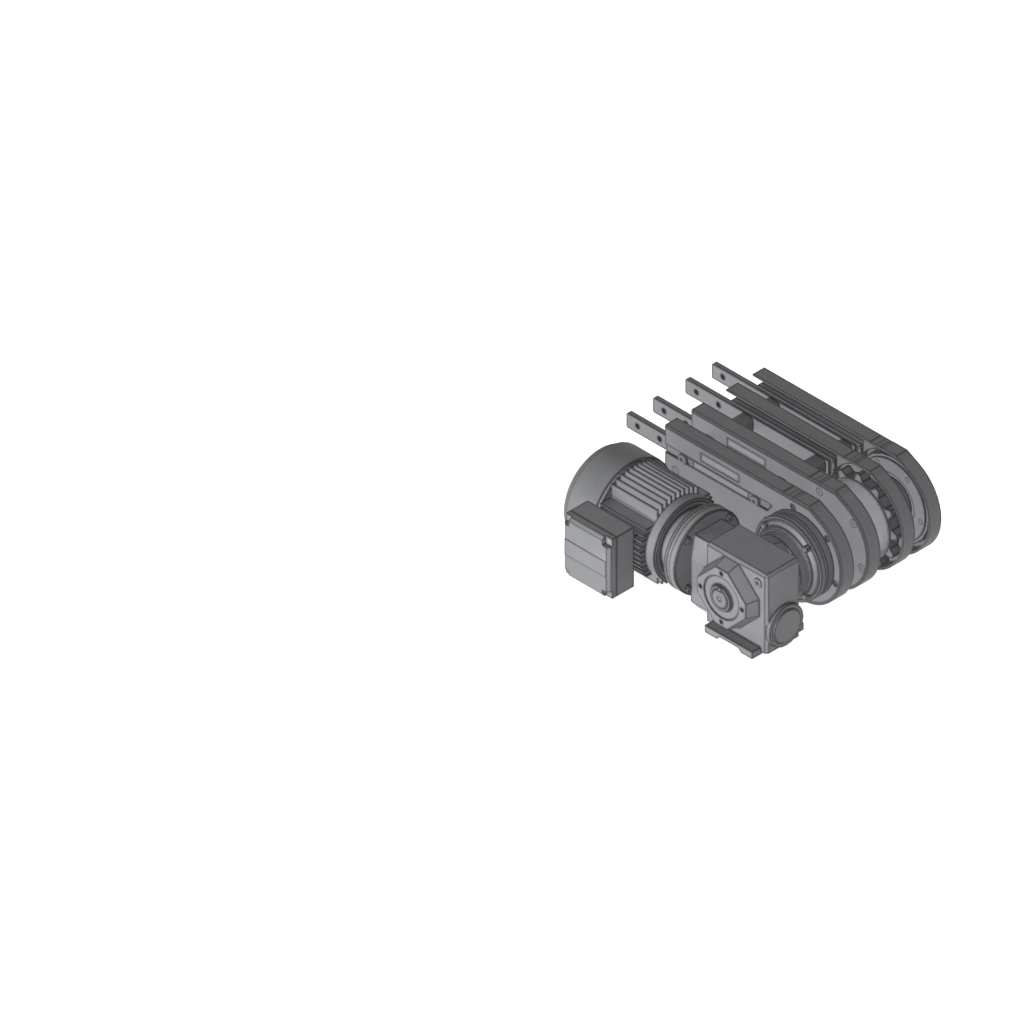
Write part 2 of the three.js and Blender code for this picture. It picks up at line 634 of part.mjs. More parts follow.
function wormShaft() {
  const tail = WORM_BEARING.inset + WORM_BEARING.width;
  const shaft = join(
    rodX(WORM_JOURNAL, PINION_X[0], tail, 0, 0),
    rodX(WORM_ROOT, -WORM_BEARING.inset + SEAT, WORM_BEARING.inset - SEAT, 0, 0),
    wormThread(),
  );
  add('worm_shaft', shell(shaft).translate(0, -BOX_OFFSET, -WORM_DROP), 'steel');
  const gear = cut(
    solid(alongX(gearOutline(GEAR_TEETH, GEAR_MODULE, Math.PI / GEAR_TEETH), ...GEAR_X)),
    rodX(boreFor(WORM_JOURNAL), GEAR_X[0] - 1, GEAR_X[1] + 1),
  );
  add('input_gear', shell(gear).translate(0, -BOX_OFFSET, -WORM_DROP), 'steel');
}

function gearboxBearings() {
  const worm = (x0) => turnedX(ringOutline(boreFor(WORM_JOURNAL), WORM_BEARING.outer, x0,
    x0 + WORM_BEARING.width), -BOX_OFFSET, -WORM_DROP);
  add('worm_bearing_1', worm(-WORM_BEARING.inset - WORM_BEARING.width), 'steel');
  add('worm_bearing_2', worm(WORM_BEARING.inset), 'steel');
  const ring = ({ outer, width, inset }, side) => {
    const outline = ringOutline(boreFor(HOLLOW_RADIUS), outer, inset, inset + width);
    const geometry = turnedY(outline);
    return (side < 0 ? mirroredY(geometry) : geometry).translate(0, -BOX_OFFSET, 0);
  };
  [-1, 1].forEach((side, i) => {
    add(`output_bearing_${i + 1}`, ring(OUTPUT_BEARING, side), 'steel');
    add(`shaft_seal_${i + 1}`, ring(SEAL, side), 'rail');
  });
}

// ---------------------------------------------------------------- gear housing

// Octagonal flange that widens from its face back to the block.
function outputFlange(side) {
  const corners = [[1, 0], [0, 1], [-1, 0], [0, -1]].flatMap(([a, b]) => [
    [a * FACE_REACH + b * FACE_STEP, b * FACE_REACH - a * FACE_STEP],
    [a * FACE_REACH - b * FACE_STEP, b * FACE_REACH + a * FACE_STEP],
  ]);
  const level = (growth, y) => corners.map(([x, z]) => new THREE.Vector3(growth * x, side * y, growth * z));
  return new ConvexGeometry([...level(1, FACE_HALF), ...level(FACE_GROWTH, BOX_HALF - 1)]);
}

function chamferedBox() {
  const [x0, x1] = BOX_X;
  const [z0, z1] = BOX_Z;
  const c = BOX_CHAMFER;
  const level = (y, inset) => [
    [x0, z0], [x1 - inset, z0], [x1 - inset, z1 - inset], [x0, z1 - inset],
  ].map(([x, z]) => new THREE.Vector3(x, y, z));
  const skirt = (y) => [
    [x0, z0], [x1, z0], [x1, z1 - c], [x1 - c, z1], [x0, z1],
  ].map(([x, z]) => new THREE.Vector3(x, y, z));
  return new ConvexGeometry([
    ...level(-BOX_HALF, c), ...skirt(-BOX_HALF + c), ...skirt(BOX_HALF - c), ...level(BOX_HALF, c),
  ]);
}

function neckOutline() {
  const low = BOX_Z[0] + NECK_LOW;
  return polygon([
    [-NECK_BOTTOM_HALF, BOX_Z[0]], [NECK_BOTTOM_HALF, BOX_Z[0]], [BOX_HALF, low],
    [BOX_HALF, NECK_SHOULDER], [NECK_TOP_HALF, NECK_TOP], [-NECK_TOP_HALF, NECK_TOP],
    [-BOX_HALF, NECK_SHOULDER], [-BOX_HALF, low],
  ]);
}

function foot(side) {
  const z0 = BOX_Z[0] - FOOT.below;
  const z1 = z0 + FOOT.height;
  const notch = z0 + FOOT_NOTCH.depth;
  const outline = polygon([
    [FOOT.x0, z0], [FOOT_NOTCH.x0, z0], [FOOT_NOTCH.x0 + FOOT_NOTCH.depth, notch],
    [FOOT_NOTCH.x1 - FOOT_NOTCH.depth, notch], [FOOT_NOTCH.x1, z0], [FOOT.x1, z0],
    [FOOT.x1, z1], [FOOT.x0, z1],
  ]);
  const near = BOX_HALF - 12;
  return side < 0 ? alongY(outline, -FOOT.reach, -near) : alongY(outline, near, FOOT.reach);
}

function gearHousing() {
  const outside = join(
    chamferedBox(),
    outputFlange(-1),
    outputFlange(1),
    alongX(neckOutline(), NECK_X + SEAT, BOX_X[0] + 1),
    rodX(CAP_BOSS_RADIUS, BOX_X[1] - 1, CAP_BOSS_X, 0, -WORM_DROP),
    foot(-1),
    foot(1),
  );
  const bearingEnd = WORM_BEARING.inset + WORM_BEARING.width;
  const seat = (rod) => rod + SEAT;
  const faceHoles = [-1, 1].flatMap((side) => [0, 1, 2, 3].map((quarter) => {
    const x = FACE_HOLE_CIRCLE * Math.cos(quarter * Math.PI / 2);
    const z = FACE_HOLE_CIRCLE * Math.sin(quarter * Math.PI / 2);
    const y0 = side < 0 ? -FACE_HALF - 1 : FACE_HALF - FACE_HOLE_DEPTH;
    return rodY(FACE_HOLE, y0, y0 + FACE_HOLE_DEPTH + 1, x, z, HOLE);
  }));
  const wheelCavity = WHEEL_MODULE * (WHEEL_TEETH / 2 + 1) + WHEEL_CLEARANCE;
  const wheelHalf = WHEEL_WIDTH / 2 + WHEEL_CLEARANCE;
  const housing = cut(
    outside,
    rodY(wheelCavity, -wheelHalf, wheelHalf),
    rodY(seat(OUTPUT_BEARING.outer), -SEAL.inset - SEAT, SEAL.inset + SEAT),
    rodY(seat(SEAL.outer), -FACE_HALF - 1, -SEAL.inset),
    rodY(seat(SEAL.outer), SEAL.inset, FACE_HALF + 1),
    rodX(WORM_CAVITY, -WORM_BEARING.inset - 1, WORM_BEARING.inset + 1, 0, -WORM_DROP),
    rodX(seat(WORM_BEARING.outer), -bearingEnd - 1, -WORM_BEARING.inset + SEAT, 0, -WORM_DROP),
    rodX(seat(WORM_BEARING.outer), WORM_BEARING.inset - SEAT, CAP_X, 0, -WORM_DROP),
    rodX(seat(CAP_RADIUS), CAP_X - CAP_DEPTH - SEAT, CAP_X, 0, -WORM_DROP),
    rodX(GEAR_CAVITY, NECK_X - 1, CAVITY_END_X, 0, -WORM_DROP),
    rodX(PINION_CAVITY, NECK_X - 1, CAVITY_END_X, 0, MOTOR_RISE),
    ...faceHoles,
  );
  add('gear_housing', shell(housing).translate(0, -BOX_OFFSET, 0), 'paint');
  const cap = rodX(CAP_RADIUS, CAP_X - CAP_DEPTH, CAP_X, -BOX_OFFSET, -WORM_DROP);
  add('end_cap', welded(cap), 'paint');
}

// Flange stack that carries the gearbox on the first side half.
function adapterFlange() {
  const start = -OUTER_FACE - SEAT;
  const end = -BOX_OFFSET + FACE_HALF + SEAT;
  const ringEnd = start - ADAPTER.ringThick;
  const grooveEnd = ringEnd - ADAPTER.grooveThick;
  const faceEnd = grooveEnd - ADAPTER.face;
  add('adapter_flange', turnedY([
    [ADAPTER_BORE, start], [ADAPTER.ring, start], [ADAPTER.ring, ringEnd], [ADAPTER.groove, ringEnd],
    [ADAPTER.groove, grooveEnd], [ADAPTER.ring, grooveEnd], [ADAPTER.ring, faceEnd],
    [ADAPTER.neck, faceEnd], [ADAPTER.neck, end], [ADAPTER_SPIGOT, end], [ADAPTER_BORE, ringEnd],
  ], LARGE), 'paint');
}

// ---------------------------------------------------------------- motor

function inputFlange() {
  const bore = boreFor(MOTOR_SHAFT, 1.5);
  const outline = ringOutline(bore, FLANGE_RADIUS, FLANGE_LEFT_X + SEAT, NECK_X);
  add('input_flange', turnedX(outline, -BOX_OFFSET, MOTOR_RISE, LARGE), 'paint');
}

function motorShields() {
  const bore = MOTOR_BEARING.outer + SEAT;
  const shaftHole = boreFor(MOTOR_SHAFT, 0.5);
  const back = SHIELD_X - SHIELD_THICK + SEAT;
  const bearingEnd = FRONT_BEARING_X + MOTOR_BEARING.width + SEAT;
  add('motor_flange', turnedX([
    [bore, back], [FLANGE_RADIUS, back], [FLANGE_RADIUS, SHIELD_X], [SHIELD_NECK, SHIELD_X],
    [SHIELD_NECK, FLANGE_LEFT_X], [shaftHole, FLANGE_LEFT_X], [shaftHole, bearingEnd],
    [bore, bearingEnd],
  ], -BOX_OFFSET, MOTOR_RISE, LARGE), 'paint');
  const rearEnd = REAR_BEARING_X + MOTOR_BEARING.width;
  const { x0, x1, radius, hub, hubX } = REAR_SHIELD;
  add('rear_shield', turnedX([
    [shaftHole, x0], [radius, x0], [radius, x1], [hub, x1], [hub, hubX], [bore, hubX],
    [bore, rearEnd - MOTOR_BEARING.width], [shaftHole, rearEnd - MOTOR_BEARING.width],
  ], -BOX_OFFSET, MOTOR_RISE), 'paint');
  const bearing = (x0b) => turnedX(ringOutline(boreFor(MOTOR_SHAFT), MOTOR_BEARING.outer, x0b + SEAT,
    x0b + MOTOR_BEARING.width), -BOX_OFFSET, MOTOR_RISE);
  add('motor_bearing_1', bearing(FRONT_BEARING_X), 'steel');
  add('motor_bearing_2', bearing(REAR_BEARING_X), 'steel');
}

// Round body with four banks of straight fins whose tips lie on one circle, and the terminal box's seat.
function statorHousing() {
  const [x0, x1] = STATOR_X;
  const fins = [];
  for (let i = 0; i < FIN_COUNT; i += 1) {
    const across = (i - (FIN_COUNT - 1) / 2) * FIN_PITCH;
    const tip = Math.sqrt(FIN_REACH ** 2 - across ** 2);
    const root = Math.sqrt((STATOR_SKIN - FIN_SINK) ** 2 - across ** 2);
    const [low, high] = [across - FIN_THICK / 2, across + FIN_THICK / 2];
    fins.push(block(x0, x1, low, high, root, tip), block(x0, x1, low, high, -tip, -root));
    fins.push(block(x0, x1, root, tip, low, high), block(x0, x1, -tip, -root, low, high));
  }
  const pedestal = block(TBOX.x0 + PEDESTAL.inset, TBOX.x1 - PEDESTAL.inset, -PEDESTAL.reach, -STATOR_BORE,
    PEDESTAL.z0, PEDESTAL.z1);
  const housing = cut(
    join(rodX(STATOR_SKIN, x0, x1), ...fins, pedestal),
    rodX(STATOR_BORE, x0 - 1, x1 + 1),
    rodY(CABLE_HOLE, -PEDESTAL.reach - 1, FIN_SINK - STATOR_BORE, (TBOX.x0 + TBOX.x1) / 2, 0, 16),
  );
  add('stator_housing', shell(housing).translate(0, -BOX_OFFSET, MOTOR_RISE), 'paint');
}

function motorInside() {
  const { x0, x1, outer, bore } = CORE;
  const place = (outline) => turnedX(outline, -BOX_OFFSET, MOTOR_RISE);
  add('stator_core', place(ringOutline(bore, outer, x0, x1)), 'core');
  const rotor = (bore - AIR_GAP) * Math.cos(Math.PI / CIRCLE);
  add('rotor_core', place(ringOutline(boreFor(MOTOR_SHAFT), rotor, x0, x1)), 'core');
  const shaft = join(
    rodX(MOTOR_SHAFT, SHAFT_REAR_X, PINION_X[1] - 1),
    alongX(gearOutline(PINION_TEETH, GEAR_MODULE), ...PINION_X),
  );
  add('motor_shaft', shell(shaft).translate(0, -BOX_OFFSET, MOTOR_RISE), 'steel');
}

function fan() {
  const { x0, x1, hub, disc, tip, blades, thick } = FAN;
  const pieces = [rodX(hub, x0, x1), rodX(disc, x1 - thick, x1)];
  for (let i = 0; i < blades; i += 1) {
    const blade = block(x0, x1 - 0.3, hub - 2, tip, -thick / 2, thick / 2);
    pieces.push(blade.rotateX(2 * Math.PI * i / blades));
  }
  const body = cut(join(...pieces), rodX(boreFor(MOTOR_SHAFT), x0 - 1, x1 + 1));
  add('fan', shell(body).translate(0, -BOX_OFFSET, MOTOR_RISE), 'polymer');
}

// Cup over the fan, with a bevelled back and a ring of air slots.
function fanCover() {
  const { x0, x1, radius, wall, bevel, inlet } = FAN_COVER;
  const cup = turnedX([
    [inlet, x0], [radius - bevel, x0], [radius, x0 + bevel], [radius, x1], [radius - wall, x1],
    [radius - wall, x0 + bevel + wall], [radius - bevel - wall, x0 + wall], [inlet, x0 + wall],
  ], 0, 0, LARGE);
  const slots = [];
  for (let i = 0; i < 8; i += 1) {
    const slot = block(x0 - 1, x0 + wall + 1, inlet + 6, radius - 16, -4, 4);
    slots.push(slot.rotateX(2 * Math.PI * i / 8));
  }
  add('fan_cover', shell(cut(solid(cup), ...slots)).translate(0, -BOX_OFFSET, MOTOR_RISE), 'paint');
}

// ---------------------------------------------------------------- terminal box

function terminalBox() {
  const { x0, x1, z0, z1, back, front, wall } = TBOX;
  const yBack = -BOX_OFFSET - back;
  const yFront = -BOX_OFFSET - front;
  const base = cut(
    solid(block(x0, x1, yFront, yBack, z0, z1)),
    block(x0 + wall, x1 - wall, yFront - 1, yBack - wall, z0 + wall, z1 - wall),
    rodY(CABLE_HOLE, yBack - wall - 1, yBack + 1, (x0 + x1) / 2, MOTOR_RISE, 16),
  );
  add('terminal_box', shell(base), 'paint');
  const middleX = (x0 + x1) / 2;
  const middleZ = (z0 + z1) / 2;
  const terminals = block(middleX - 18, middleX + 18, yBack - wall - 16, yBack - wall - SEAT,
    middleZ + 4, middleZ + 26);
  add('terminal_block', terminals, 'rail');
}

function lidCorners(inset) {
  const { x0, x1, z0, z1 } = TBOX;
  return [[x0 + inset, z0 + inset], [x1 - inset, z0 + inset], [x1 - inset, z1 - inset], [x0 + inset, z1 - inset]];
}

function terminalLid() {
  const { x0, x1, z0, z1, front } = TBOX;
  const y0 = -BOX_OFFSET - front - SEAT;
  const y1 = y0 - LID.thick;
  const level = (y, inset) => lidCorners(inset).map(([x, z]) => new THREE.Vector3(x, y, z));
  const slab = new ConvexGeometry([...level(y0, 0), ...level(y1 + LID.bevel, 0), ...level(y1, LID.bevel)]);
  const band = block(x0 + LID.bevel, x1 - LID.bevel, y1 - BAND.rise, y1 + 1, BAND.z0, BAND.z1);
  const notches = [[x0, z0], [x1, z0], [x1, z1], [x0, z1]].map(([x, z]) => block(
    x - LID.notch, x + LID.notch, y1 - 1, y1 + LID.bevel + 2, z - LID.notch, z + LID.notch,
  ));
  add('terminal_lid', shell(cut(join(slab, band), ...notches)), 'paint');
}

sideHalves();
spacers();
tieBolts();
slotStrip();
driveShaft();
drum();
add('sprocket_ring_1', mirroredY(sprocketRing()), 'polymer');
add('sprocket_ring_2', sprocketRing(), 'polymer');
headBearings();
wheelTrain();
wormShaft();
gearboxBearings();
gearHousing();
adapterFlange();
inputFlange();
motorShields();
statorHousing();
motorInside();
fan();
fanCover();
terminalBox();
terminalLid();

const bounds = new THREE.Box3().setFromObject(unit);
const middle = bounds.getCenter(new THREE.Vector3());
unit.position.set(-middle.x, -middle.y, -bounds.min.z);

export default unit;
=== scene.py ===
"""Head end of a twin-track chain conveyor with its worm gearmotor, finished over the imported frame."""

import json
import math

import bmesh
import bpy
import numpy as np
from bpy.props import FloatProperty, IntProperty, PointerProperty
from mathutils import Matrix, Vector

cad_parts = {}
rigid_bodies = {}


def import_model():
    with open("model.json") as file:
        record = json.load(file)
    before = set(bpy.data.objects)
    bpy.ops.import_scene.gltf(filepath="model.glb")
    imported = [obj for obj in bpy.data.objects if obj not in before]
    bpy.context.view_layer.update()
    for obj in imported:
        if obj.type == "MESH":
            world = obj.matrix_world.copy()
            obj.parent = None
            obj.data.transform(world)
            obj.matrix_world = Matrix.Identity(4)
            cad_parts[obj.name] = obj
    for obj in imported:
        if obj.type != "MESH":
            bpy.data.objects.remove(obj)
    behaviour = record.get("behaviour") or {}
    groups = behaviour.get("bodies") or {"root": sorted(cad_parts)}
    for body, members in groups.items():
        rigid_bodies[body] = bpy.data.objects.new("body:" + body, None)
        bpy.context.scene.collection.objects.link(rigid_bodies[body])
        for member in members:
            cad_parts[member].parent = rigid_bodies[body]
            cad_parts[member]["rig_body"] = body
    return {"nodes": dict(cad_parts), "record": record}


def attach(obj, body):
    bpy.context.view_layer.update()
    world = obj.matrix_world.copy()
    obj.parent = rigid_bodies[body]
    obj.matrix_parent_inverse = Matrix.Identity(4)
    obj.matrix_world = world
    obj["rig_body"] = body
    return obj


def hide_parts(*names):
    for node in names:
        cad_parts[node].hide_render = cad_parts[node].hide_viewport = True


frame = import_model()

bl_info = {
    "name": "Chain Conveyor Head",
    "version": (1, 0, 0),
    "blender": (4, 5, 0),
    "location": "View3D > Sidebar > Conveyor",
    "description": "Builds the finish, fasteners and stage of a chain conveyor head over its CAD frame",
    "category": "Object",
}

MM = 0.001
SHAFT_X = 111.355
SHAFT_Z = 66.475
RAIL_TOP = 134.875
MOTOR_Y = -69.15
MOTOR_Z = 74.475
STOCK_Z = 102.375                      # middle of the connector bars, ties and spacers
TIE_X = (-77.645, 39.055)
TIE_FACES = (("near", 13.15, "-Y"), ("far", 176.15, "+Y"))
RUN_LENGTH = 219
HEAD_RADIUS = 65
CREASE_X = 12.5
COVER_TOP = 66.6                       # above the shaft, just under the rails
SLOPE_X = -170
UNDERSIDE = 3.4
TOOTH_TIP = 60.4
GUIDE_GAP = 1.6                        # between the tooth tips and a guide's hollow front
GUIDE_BACK = 49.5                      # the guides' upright edge, behind the shaft
GUIDE_TOP = 65.0
STRIP_Y = 16.4                         # the slot strip's forks stand out from here
ADAPTER_FACE = -5.85
GEARBOX_FRONT = -96.75
SHAFT_FRONT = -116.4
LID_SEAT = -162.6                      # the lid screws' heads rise from here
MOTOR_FACE = 11.06
INPUT_REAR = 27.06
INPUT_FRONT = 45.25
FAN_REAR = -123.45
COVER_FACES = (("1", 14.65, "-Y"), ("2", 57.25, "-Y"), ("3", 132.05, "+Y"), ("4", 174.65, "+Y"))

FACINGS = {
    "-Y": ((1, 0, 0), (0, 0, 1), (0, -1, 0)),
    "+Y": ((-1, 0, 0), (0, 0, 1), (0, 1, 0)),
    "+X": ((0, 1, 0), (0, 0, 1), (1, 0, 0)),
    "-X": ((0, -1, 0), (0, 0, 1), (-1, 0, 0)),
    "+Z": ((1, 0, 0), (0, 1, 0), (0, 0, 1)),
}
OPPOSITE = {"-Y": "+Y", "+Y": "-Y"}

# Painted edge shade: a dark line along every edge, standing in for the shade in creases and drawing a dark
# outline on outer edges.
EDGE_START = 0.997                     # normals this far in step show no line
EDGE_FULL = 0.978                      # and from here the line is full
EDGE_SHADE_TONE = (0.012, 0.012, 0.013, 1)
DUST_TONE = (0.20, 0.197, 0.190, 1)
TONE_SWING = 0.06
ROUGHNESS_SWING = 0.10
SPECULAR = 0.28
SMOOTH_BELOW = math.radians(27)
BEVEL_ABOVE = math.radians(40)
CAMERA_BACK = 3.0
FLOOR_REACH = 6.0


# ---------------------------------------------------------------- shader groups


def new_group(name, inputs, outputs):
    """An empty shader group with float sockets, except that a socket named Place is a vector."""
    group = bpy.data.node_groups.new(name, "ShaderNodeTree")
    for label, value in inputs:
        kind = "NodeSocketVector" if label == "Place" else "NodeSocketFloat"
        socket = group.interface.new_socket(label, in_out="INPUT", socket_type=kind)
        if kind == "NodeSocketFloat":
            socket.default_value = value
    for label in outputs:
        group.interface.new_socket(label, in_out="OUTPUT", socket_type="NodeSocketFloat")
    return group, group.nodes.new("NodeGroupInput"), group.nodes.new("NodeGroupOutput")


def edge_shade_group():
    """Mask for the painted edge shade: one minus the dot product of the rounded and the true normal,
    stretched to 0 to 1, so it is high along every crease and outer edge.
    """
    group, start, end = new_group("painted_edge_shade", [("Width", 0.0005)], ["Line"])
    nodes, links = group.nodes, group.links
    rounded = nodes.new("ShaderNodeBevel")
    rounded.samples = 12
    surface = nodes.new("ShaderNodeNewGeometry")
    dot = nodes.new("ShaderNodeVectorMath")
    dot.operation = "DOT_PRODUCT"
    spread = nodes.new("ShaderNodeMapRange")
    spread.inputs["From Min"].default_value = EDGE_START
    spread.inputs["From Max"].default_value = EDGE_FULL
    links.new(start.outputs["Width"], rounded.inputs["Radius"])
    links.new(rounded.outputs["Normal"], dot.inputs[0])
    links.new(surface.outputs["Normal"], dot.inputs[1])
    links.new(dot.outputs["Value"], spread.inputs["Value"])
    links.new(spread.outputs["Result"], end.inputs["Line"])
    return group


def grain_group():
    """Surface grain: a fine noise for texture and a broad one for uneven tone."""
    group, start, end = new_group("metal_grain", [("Place", None), ("Scale", 900.0)], ["Fine", "Broad"])
    nodes, links = group.nodes, group.links
    fine = nodes.new("ShaderNodeTexNoise")
    fine.inputs["Detail"].default_value = 5.0
    fine.inputs["Roughness"].default_value = 0.65
    broad = nodes.new("ShaderNodeTexNoise")
    broad.inputs["Scale"].default_value = 22.0
    broad.inputs["Detail"].default_value = 3.0
    links.new(start.outputs["Place"], fine.inputs["Vector"])
    links.new(start.outputs["Scale"], fine.inputs["Scale"])
    links.new(start.outputs["Place"], broad.inputs["Vector"])
    links.new(fine.outputs["Fac"], end.inputs["Fine"])
    links.new(broad.outputs["Fac"], end.inputs["Broad"])
    return group


def dust_group():
    """Dust mask: how far the surface faces up, times a patchy noise, times the amount."""
    group, start, end = new_group("settled_dust", [("Place", None), ("Amount", 0.1)], ["Dust"])
    nodes, links = group.nodes, group.links
    surface = nodes.new("ShaderNodeNewGeometry")
    split = nodes.new("ShaderNodeSeparateXYZ")
    up = nodes.new("ShaderNodeMath")
    up.operation = "MAXIMUM"
    up.inputs[1].default_value = 0.0
    patch = nodes.new("ShaderNodeTexNoise")
    patch.inputs["Scale"].default_value = 60.0
    patch.inputs["Detail"].default_value = 4.0
    both = nodes.new("ShaderNodeMath")
    both.operation = "MULTIPLY"
    scaled = nodes.new("ShaderNodeMath")
    scaled.operation = "MULTIPLY"
    links.new(surface.outputs["Normal"], split.inputs["Vector"])
    links.new(split.outputs["Z"], up.inputs[0])
    links.new(start.outputs["Place"], patch.inputs["Vector"])
    links.new(up.outputs["Value"], both.inputs[0])
    links.new(patch.outputs["Fac"], both.inputs[1])
    links.new(both.outputs["Value"], scaled.inputs[0])
    links.new(start.outputs["Amount"], scaled.inputs[1])
    links.new(scaled.outputs["Value"], end.inputs["Dust"])
    return group


# name: tone, roughness, metallic, grain per metre, stretch of the grain along X Y Z, bump, strength of the
# painted edge shade, dust
FINISHES = {
    "plate": ((0.060, 0.061, 0.064), 0.48, 0.25, 900, (1, 1, 1), 0.10, 0.96, 0.10),
    "rail": ((0.047, 0.048, 0.050), 0.52, 0.0, 700, (0.08, 1, 1), 0.12, 0.96, 0.06),
    "spacer": ((0.058, 0.059, 0.061), 0.42, 0.35, 800, (1, 0.08, 1), 0.10, 0.96, 0.10),
    "steel": ((0.066, 0.067, 0.070), 0.36, 0.20, 1200, (1, 0.15, 1), 0.06, 0.96, 0.04),
    "polymer": ((0.060, 0.061, 0.064), 0.50, 0.0, 1100, (1, 1, 1), 0.08, 0.96, 0.08),
    "casting": ((0.060, 0.061, 0.064), 0.50, 0.30, 600, (1, 1, 1), 0.16, 0.96, 0.10),
    "bearing": ((0.220, 0.222, 0.228), 0.22, 0.80, 1400, (1, 1, 1), 0.04, 0.96, 0.02),
    "paint": ((0.059, 0.060, 0.063), 0.46, 0.0, 1500, (1, 1, 1), 0.20, 0.96, 0.10),
    "bronze": ((0.330, 0.215, 0.080), 0.32, 0.80, 1200, (1, 1, 1), 0.06, 0.70, 0.02),
    # Near black for seals and plugs; also used for the dark discs of painted shade in the first cover's
    # open screw holes.
    "seal": ((0.022, 0.022, 0.024), 0.58, 0.0, 900, (1, 1, 1), 0.10, 0.50, 0.06),
    "core": ((0.075, 0.075, 0.080), 0.45, 0.60, 1600, (1, 0.05, 0.05), 0.14, 0.60, 0.02),
    # Darker copies of the paint for the fan cover and its shoulder: painted shade, darkening the cover
    # where the side light falls on it; the shoulder's copy also weakens its painted edge shade.
    "shaded_shroud": ((0.043, 0.044, 0.046), 0.50, 0.0, 1500, (1, 1, 1), 0.20, 0.96, 0.10),
    "shoulder": ((0.043, 0.044, 0.046), 0.50, 0.0, 1500, (1, 1, 1), 0.20, 0.10, 0.10),
    "drum": ((0.150, 0.152, 0.157), 0.30, 0.0, 1100, (1, 0.1, 1), 0.08, 0.96, 0.04),
    "tooth": ((0.044, 0.045, 0.047), 0.50, 0.0, 1100, (1, 1, 1), 0.08, 0.96, 0.04),
    # Near black: the dark side edges of the rails, and on the fan also painted shade for the inside of the
    # fan cover.
    "rail_edge_and_fan_shade": ((0.022, 0.022, 0.024), 0.52, 0.0, 700, (0.08, 1, 1), 0.10, 0.96, 0.04),
    "screw": ((0.064, 0.065, 0.068), 0.36, 0.15, 1200, (1, 1, 1), 0.05, 0.25, 0.02),
    # Near black, without edge shade: painted shade, used for the dark discs on socket floors, the dark
    # rings round screw heads and the dark sheet inside the fan cover.
    "painted_shade": ((0.010, 0.010, 0.011), 0.60, 0.0, 900, (1, 1, 1), 0.05, 0.0, 0.02),
    "label": ((0.078, 0.079, 0.083), 0.38, 0.10, 1300, (1, 1, 1), 0.05, 0.75, 0.06),
}


def finish(name, groups, look):
    """One finish: its tone broken up by grain and dust, and darkened along each edge and crease by painted
    edge shade.
    """
    tone, roughness, metallic, scale, stretch, bump, line, dust = FINISHES[name]
    material = bpy.data.materials.new(name + "_finish")
    material.use_nodes = True
    nodes, links = material.node_tree.nodes, material.node_tree.links
    shader = nodes["Principled BSDF"]
    shader.inputs["Metallic"].default_value = metallic
    shader.inputs["Specular IOR Level"].default_value = SPECULAR
    place = nodes.new("ShaderNodeTexCoord")
    stretched = nodes.new("ShaderNodeMapping")
    stretched.inputs["Scale"].default_value = stretch
    links.new(place.outputs["Object"], stretched.inputs["Vector"])

    grain = nodes.new("ShaderNodeGroup")
    grain.node_tree = groups["grain"]
    grain.inputs["Scale"].default_value = scale
    links.new(stretched.outputs["Vector"], grain.inputs["Place"])
    settled = nodes.new("ShaderNodeGroup")
    settled.node_tree = groups["dust"]
    settled.inputs["Amount"].default_value = dust * look.dust
    links.new(place.outputs["Object"], settled.inputs["Place"])
    edge = nodes.new("ShaderNodeGroup")
    edge.node_tree = groups["edge"]
    edge.inputs["Width"].default_value = look.line_width * MM

    ramp = nodes.new("ShaderNodeMapRange")
    ramp.inputs["From Min"].default_value = 0.3
    ramp.inputs["From Max"].default_value = 0.7
    links.new(grain.outputs["Broad"], ramp.inputs["Value"])
    uneven = nodes.new("ShaderNodeMix")
    uneven.data_type = "RGBA"
    uneven.inputs["A"].default_value = (*[c * (1 - TONE_SWING) for c in tone], 1)
    uneven.inputs["B"].default_value = (*[c * (1 + TONE_SWING) for c in tone], 1)
    links.new(ramp.outputs["Result"], uneven.inputs["Factor"])
    dusted = nodes.new("ShaderNodeMix")
    dusted.data_type = "RGBA"
    dusted.inputs["B"].default_value = DUST_TONE
    links.new(settled.outputs["Dust"], dusted.inputs["Factor"])
    links.new(uneven.outputs["Result"], dusted.inputs["A"])
    # Painted edge shade: the edge mask, times this finish's strength, mixes the colour towards the dark
    # edge tone.
    weight = nodes.new("ShaderNodeMath")
    weight.operation = "MULTIPLY"
    weight.inputs[1].default_value = line
    links.new(edge.outputs["Line"], weight.inputs[0])
    edge_shaded = nodes.new("ShaderNodeMix")
    edge_shaded.data_type = "RGBA"
    edge_shaded.inputs["B"].default_value = EDGE_SHADE_TONE
    links.new(weight.outputs["Value"], edge_shaded.inputs["Factor"])
    links.new(dusted.outputs["Result"], edge_shaded.inputs["A"])
    links.new(edge_shaded.outputs["Result"], shader.inputs["Base Color"])

    rough = nodes.new("ShaderNodeMapRange")
    rough.inputs["To Min"].default_value = roughness - ROUGHNESS_SWING
    rough.inputs["To Max"].default_value = roughness + ROUGHNESS_SWING
    links.new(grain.outputs["Fine"], rough.inputs["Value"])
    links.new(rough.outputs["Result"], shader.inputs["Roughness"])
    relief = nodes.new("ShaderNodeBump")
    relief.inputs["Strength"].default_value = bump
    relief.inputs["Distance"].default_value = 0.0002
    links.new(grain.outputs["Fine"], relief.inputs["Height"])
    links.new(relief.outputs["Normal"], shader.inputs["Normal"])
    return material


# ---------------------------------------------------------------- building


def material_for(slot):
    """The finish of that name, which the first operator has made."""
    found = bpy.data.materials.get(slot + "_finish")
    if found is None:
        raise RuntimeError("make the finishes first")
    return found


